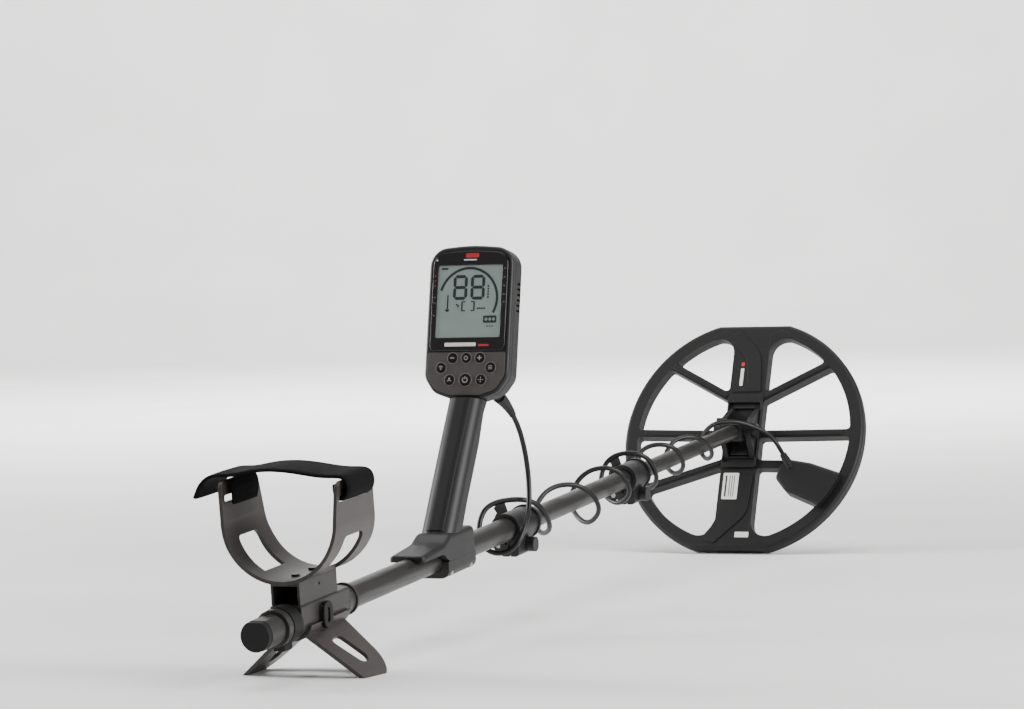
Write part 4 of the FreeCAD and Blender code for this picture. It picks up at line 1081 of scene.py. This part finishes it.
def key_sign(name, x, y):
    """The plain sign on a key, round its middle."""
    pen = 0.75
    if name == "minus":
        return [oblong(x, y, 1.0, 4.2, 0.4)]
    if name == "plus":
        return [rounded([(x + a, y + b) for a, b in PLUS])]
    if name == "accept":
        return [disc(x, y, 2.0, 24), disc(x, y, 1.25, 24)]
    if name == "power":
        return [stroke(ring_points(x, y, 2.4, 35, 325, 30), 0.9), oblong(x + 2.0, y, 2.6, 0.9, 0.3)]
    if name == "detect":
        arcs = [stroke(ring_points(x - 1.6, y, r, -40, 40, 12), pen) for r in (1.6, 3.1)]
        return arcs + [disc(x - 1.4, y, 0.6, 12)]
    if name == "settings":
        return [oblong(x + a, y, 0.6, 4.0, 0.2) for a in (-1.4, 0, 1.4)]
    if name == "profile":
        return [disc(x + 1.2, y, 0.95, 16), stroke(ring_points(x - 2.0, y, 1.8, -75, 75, 14), pen)]
    return [disc(x, y, 0.7, 12), *[stroke([(x + a, y), (x + 1.8 * a, y)], pen) for a in (1.4, -1.4)],
            *[stroke([(x, y + a), (x, y + 1.8 * a)], pen) for a in (1.4, -1.4)]]


PLUS = [
    (2.1, 0.5), (0.5, 0.5), (0.5, 2.1), (-0.5, 2.1), (-0.5, 0.5), (-2.1, 0.5),
    (-2.1, -0.5), (-0.5, -0.5), (-0.5, -2.1), (0.5, -2.1), (0.5, -0.5), (2.1, -0.5),
]


class DETECTOR_OT_keypad(bpy.types.Operator):
    """Finish the keys, and add their raised collars and printed signs"""

    bl_idname = "detector.keypad"
    bl_label = "Keypad"

    def execute(self, context):
        dress("silicone", "keypad_membrane", *[f"button_{name}" for name in KEYS])
        holes = [disc(up, left, radius + 0.45) for up, left, radius in KEYS.values()]
        face = plate([rounded(KEYPAD_FACE), *holes], KEYPAD - 0.1, KEYPAD + 0.3, 0.12)
        mesh_piece("keypad_face", face, POD, "handle_frame", "keypad")
        for name, (up, left, radius) in KEYS.items():
            collar = [disc(up, left, radius + 1.15), disc(up, left, radius + 0.45)]
            mesh = plate(collar, KEYPAD - 0.3, KEYPAD + 0.75, 0.2)
            mesh_piece(f"key_collar_{name}", mesh, POD, "handle_frame", "collar")
            printed(f"key_sign_{name}", key_sign(name, up, left), KEY_TOP, "grey_ink", f"button_{name}")
        return {"FINISHED"}


# --- Search coil --------------------------------------------------------------------------------

SHELL_TOP = 7.5  # level of the shell's face
SKID_BOTTOM = -7.3  # level just inside the skid plate's underside


def on_shell(name, outlines, height, edge, key="coil", low=-0.5):
    """A raised piece of the shell."""
    mesh = plate(outlines, SHELL_TOP + low, SHELL_TOP + height, edge)
    return mesh_piece(name, mesh, COIL, "coil", key)


def corner_web(up, left):
    """Fills the corner between the band and the rim with a hollow curve, in one of four quarters."""
    inside, radius, band = 125.0, 18.0, 21.0  # mm; the rim's inner radius, the curve's, half the band
    y = band + radius
    x = math.sqrt((inside - radius) ** 2 - y**2)
    curve = ring_points(x, y, radius, -90, math.degrees(math.atan2(y, x)), steps=16)
    back = [(121, 47), (128, 33), (122, 20), (x, band - 1.5)]
    outline = [(a * up, b * left) for a, b in curve + back]
    return outline if up * left > 0 else outline[::-1]


class DETECTOR_OT_coil(bpy.types.Operator):
    """Finish the coil and its pivot, and add the raised panels, ribs, webs and labels of the shell's face"""

    bl_idname = "detector.coil"
    bl_label = "Search coil"

    def execute(self, context):
        dress("coil", "coil_shell", "skid_plate")
        dress("dark", "pivot_bolt", "pivot_nut")
        dress("rubber", "coil_cable_boot")
        dress("copper", "coil_winding")
        # X is up the coil and Y to its left. Two raised panels cross the middle band on a slant.
        upper = rounded(
            [(53, 17.5), (53, -16, 2), (99, -12, 30), (128, 16, 3), (118, 30, 3), (94, 4, 24), (60, 1, 6)]
        )
        on_shell("upper_panel", [upper], 1.0, 0.3)
        lower = rounded(
            [
                (-46, 18), (-46, -18, 2), (-92, -15, 24), (-127, 20, 3), (-122, 36, 6), (-108, 25, 16),
                (-94, 18, 20),
            ]
        )
        on_shell("lower_panel", [lower], 1.0, 0.3)
        # The hub's rim stands round a pocket that holds the two ears.
        rim = rounded([(48, 20.4, 3), (48, -20.4, 3), (-38, -20.4, 3), (-38, 20.4, 3)])
        pocket = rounded([(39, 19, 2), (39, -18.4, 2), (-32, -18.4, 2), (-32, 19, 2)])
        on_shell("hub_rim", [rim, pocket], 3.4, 0.5)
        cross = [oblong(x, 0, 2.2, 23.6, 0.6) for x in (-26, -19, 33)]
        on_shell("hub_cross_ribs", cross, 2.6, 0.4)
        step = rounded([(-11, 9, 2), (-11, -9, 2), (-24, -11, 2), (-24, 11, 2)])
        on_shell("hub_step", [step], 5.0, 0.8)
        # Ribs run along the middle of the spokes.
        spokes = []
        for side in (1, -1):
            spokes.append(stroke([(48, 23 * side), (85, 91.5 * side)], 5.2))
            spokes.append(stroke([(2.4, 23 * side), (3.8, 116 * side)], 5.2))
        spokes.append(stroke([(-31.4, 23), (-62, 108)], 5.2))
        on_shell("spoke_ribs", spokes, 1.0, 0.7)
        # Webs round off the openings where the band meets the rim, through the shell and the skid plate.
        webs = [corner_web(up, left) for up in (1, -1) for left in (1, -1)]
        on_shell("corner_webs", webs, 0.12, 0.3, low=SKID_BOTTOM - SHELL_TOP)
        # Two plain labels, and printed bars in place of lettering.
        on_shell("side_label", [oblong(-59.8, 7.2, 31.0, 18.0, 1.0)], 1.12, 0.0, "label")
        on_shell("lower_label", [oblong(-116.4, -12.0, 6.2, 16.0, 0.8)], 0.12, 0.0, "label")
        bars = [oblong(-59.8, y, 25, w) for y, w in ((12.4, 1.8), (8.2, 0.7), (5.6, 0.7), (3.0, 0.7))]
        printed("side_label_print", bars, SHELL_TOP + 1.12, "segment", "coil", COIL)
        printed("band_white_mark", [oblong(71, 8.4, 21, 3.8, 0.8)], SHELL_TOP, "white_ink", "coil", COIL)
        printed("band_red_mark", [oblong(86.5, 8.4, 4.5, 3.8, 0.8)], SHELL_TOP, "red_ink", "coil", COIL)
        return {"FINISHED"}


# --- Panel and run ------------------------------------------------------------------------------


class DETECTOR_PT_panel(bpy.types.Panel):
    """The pieces of the detector, in the order in which they are made"""

    bl_idname = "DETECTOR_PT_panel"
    bl_label = "Metal Detector"
    bl_space_type = "VIEW_3D"
    bl_region_type = "UI"
    bl_category = "Detector"

    def draw(self, context):
        for operator in OPERATORS:
            self.layout.operator(operator.bl_idname)
        for group in (context.scene.detector_settings, context.scene.stage_settings):
            for name in group.__annotations__:
                self.layout.prop(group, name)


OPERATORS = (
    DETECTOR_OT_stage,
    DETECTOR_OT_cable,
    DETECTOR_OT_shaft,
    DETECTOR_OT_armrest,
    DETECTOR_OT_strap,
    DETECTOR_OT_grip,
    DETECTOR_OT_pod,
    DETECTOR_OT_cover,
    DETECTOR_OT_display,
    DETECTOR_OT_keypad,
    DETECTOR_OT_coil,
)
CLASSES = (DetectorSettings, StageSettings, *OPERATORS, DETECTOR_PT_panel)


def register():
    for cls in CLASSES:
        bpy.utils.register_class(cls)
    bpy.types.Scene.detector_settings = PointerProperty(type=DetectorSettings)
    bpy.types.Scene.stage_settings = PointerProperty(type=StageSettings)


def unregister():
    del bpy.types.Scene.detector_settings
    del bpy.types.Scene.stage_settings
    for cls in reversed(CLASSES):
        bpy.utils.unregister_class(cls)


def main():
    """Makes every piece in order."""
    register()
    for operator in OPERATORS:
        group, name = operator.bl_idname.split(".")
        getattr(getattr(bpy.ops, group), name)()


if __name__ == "__main__":
    main()
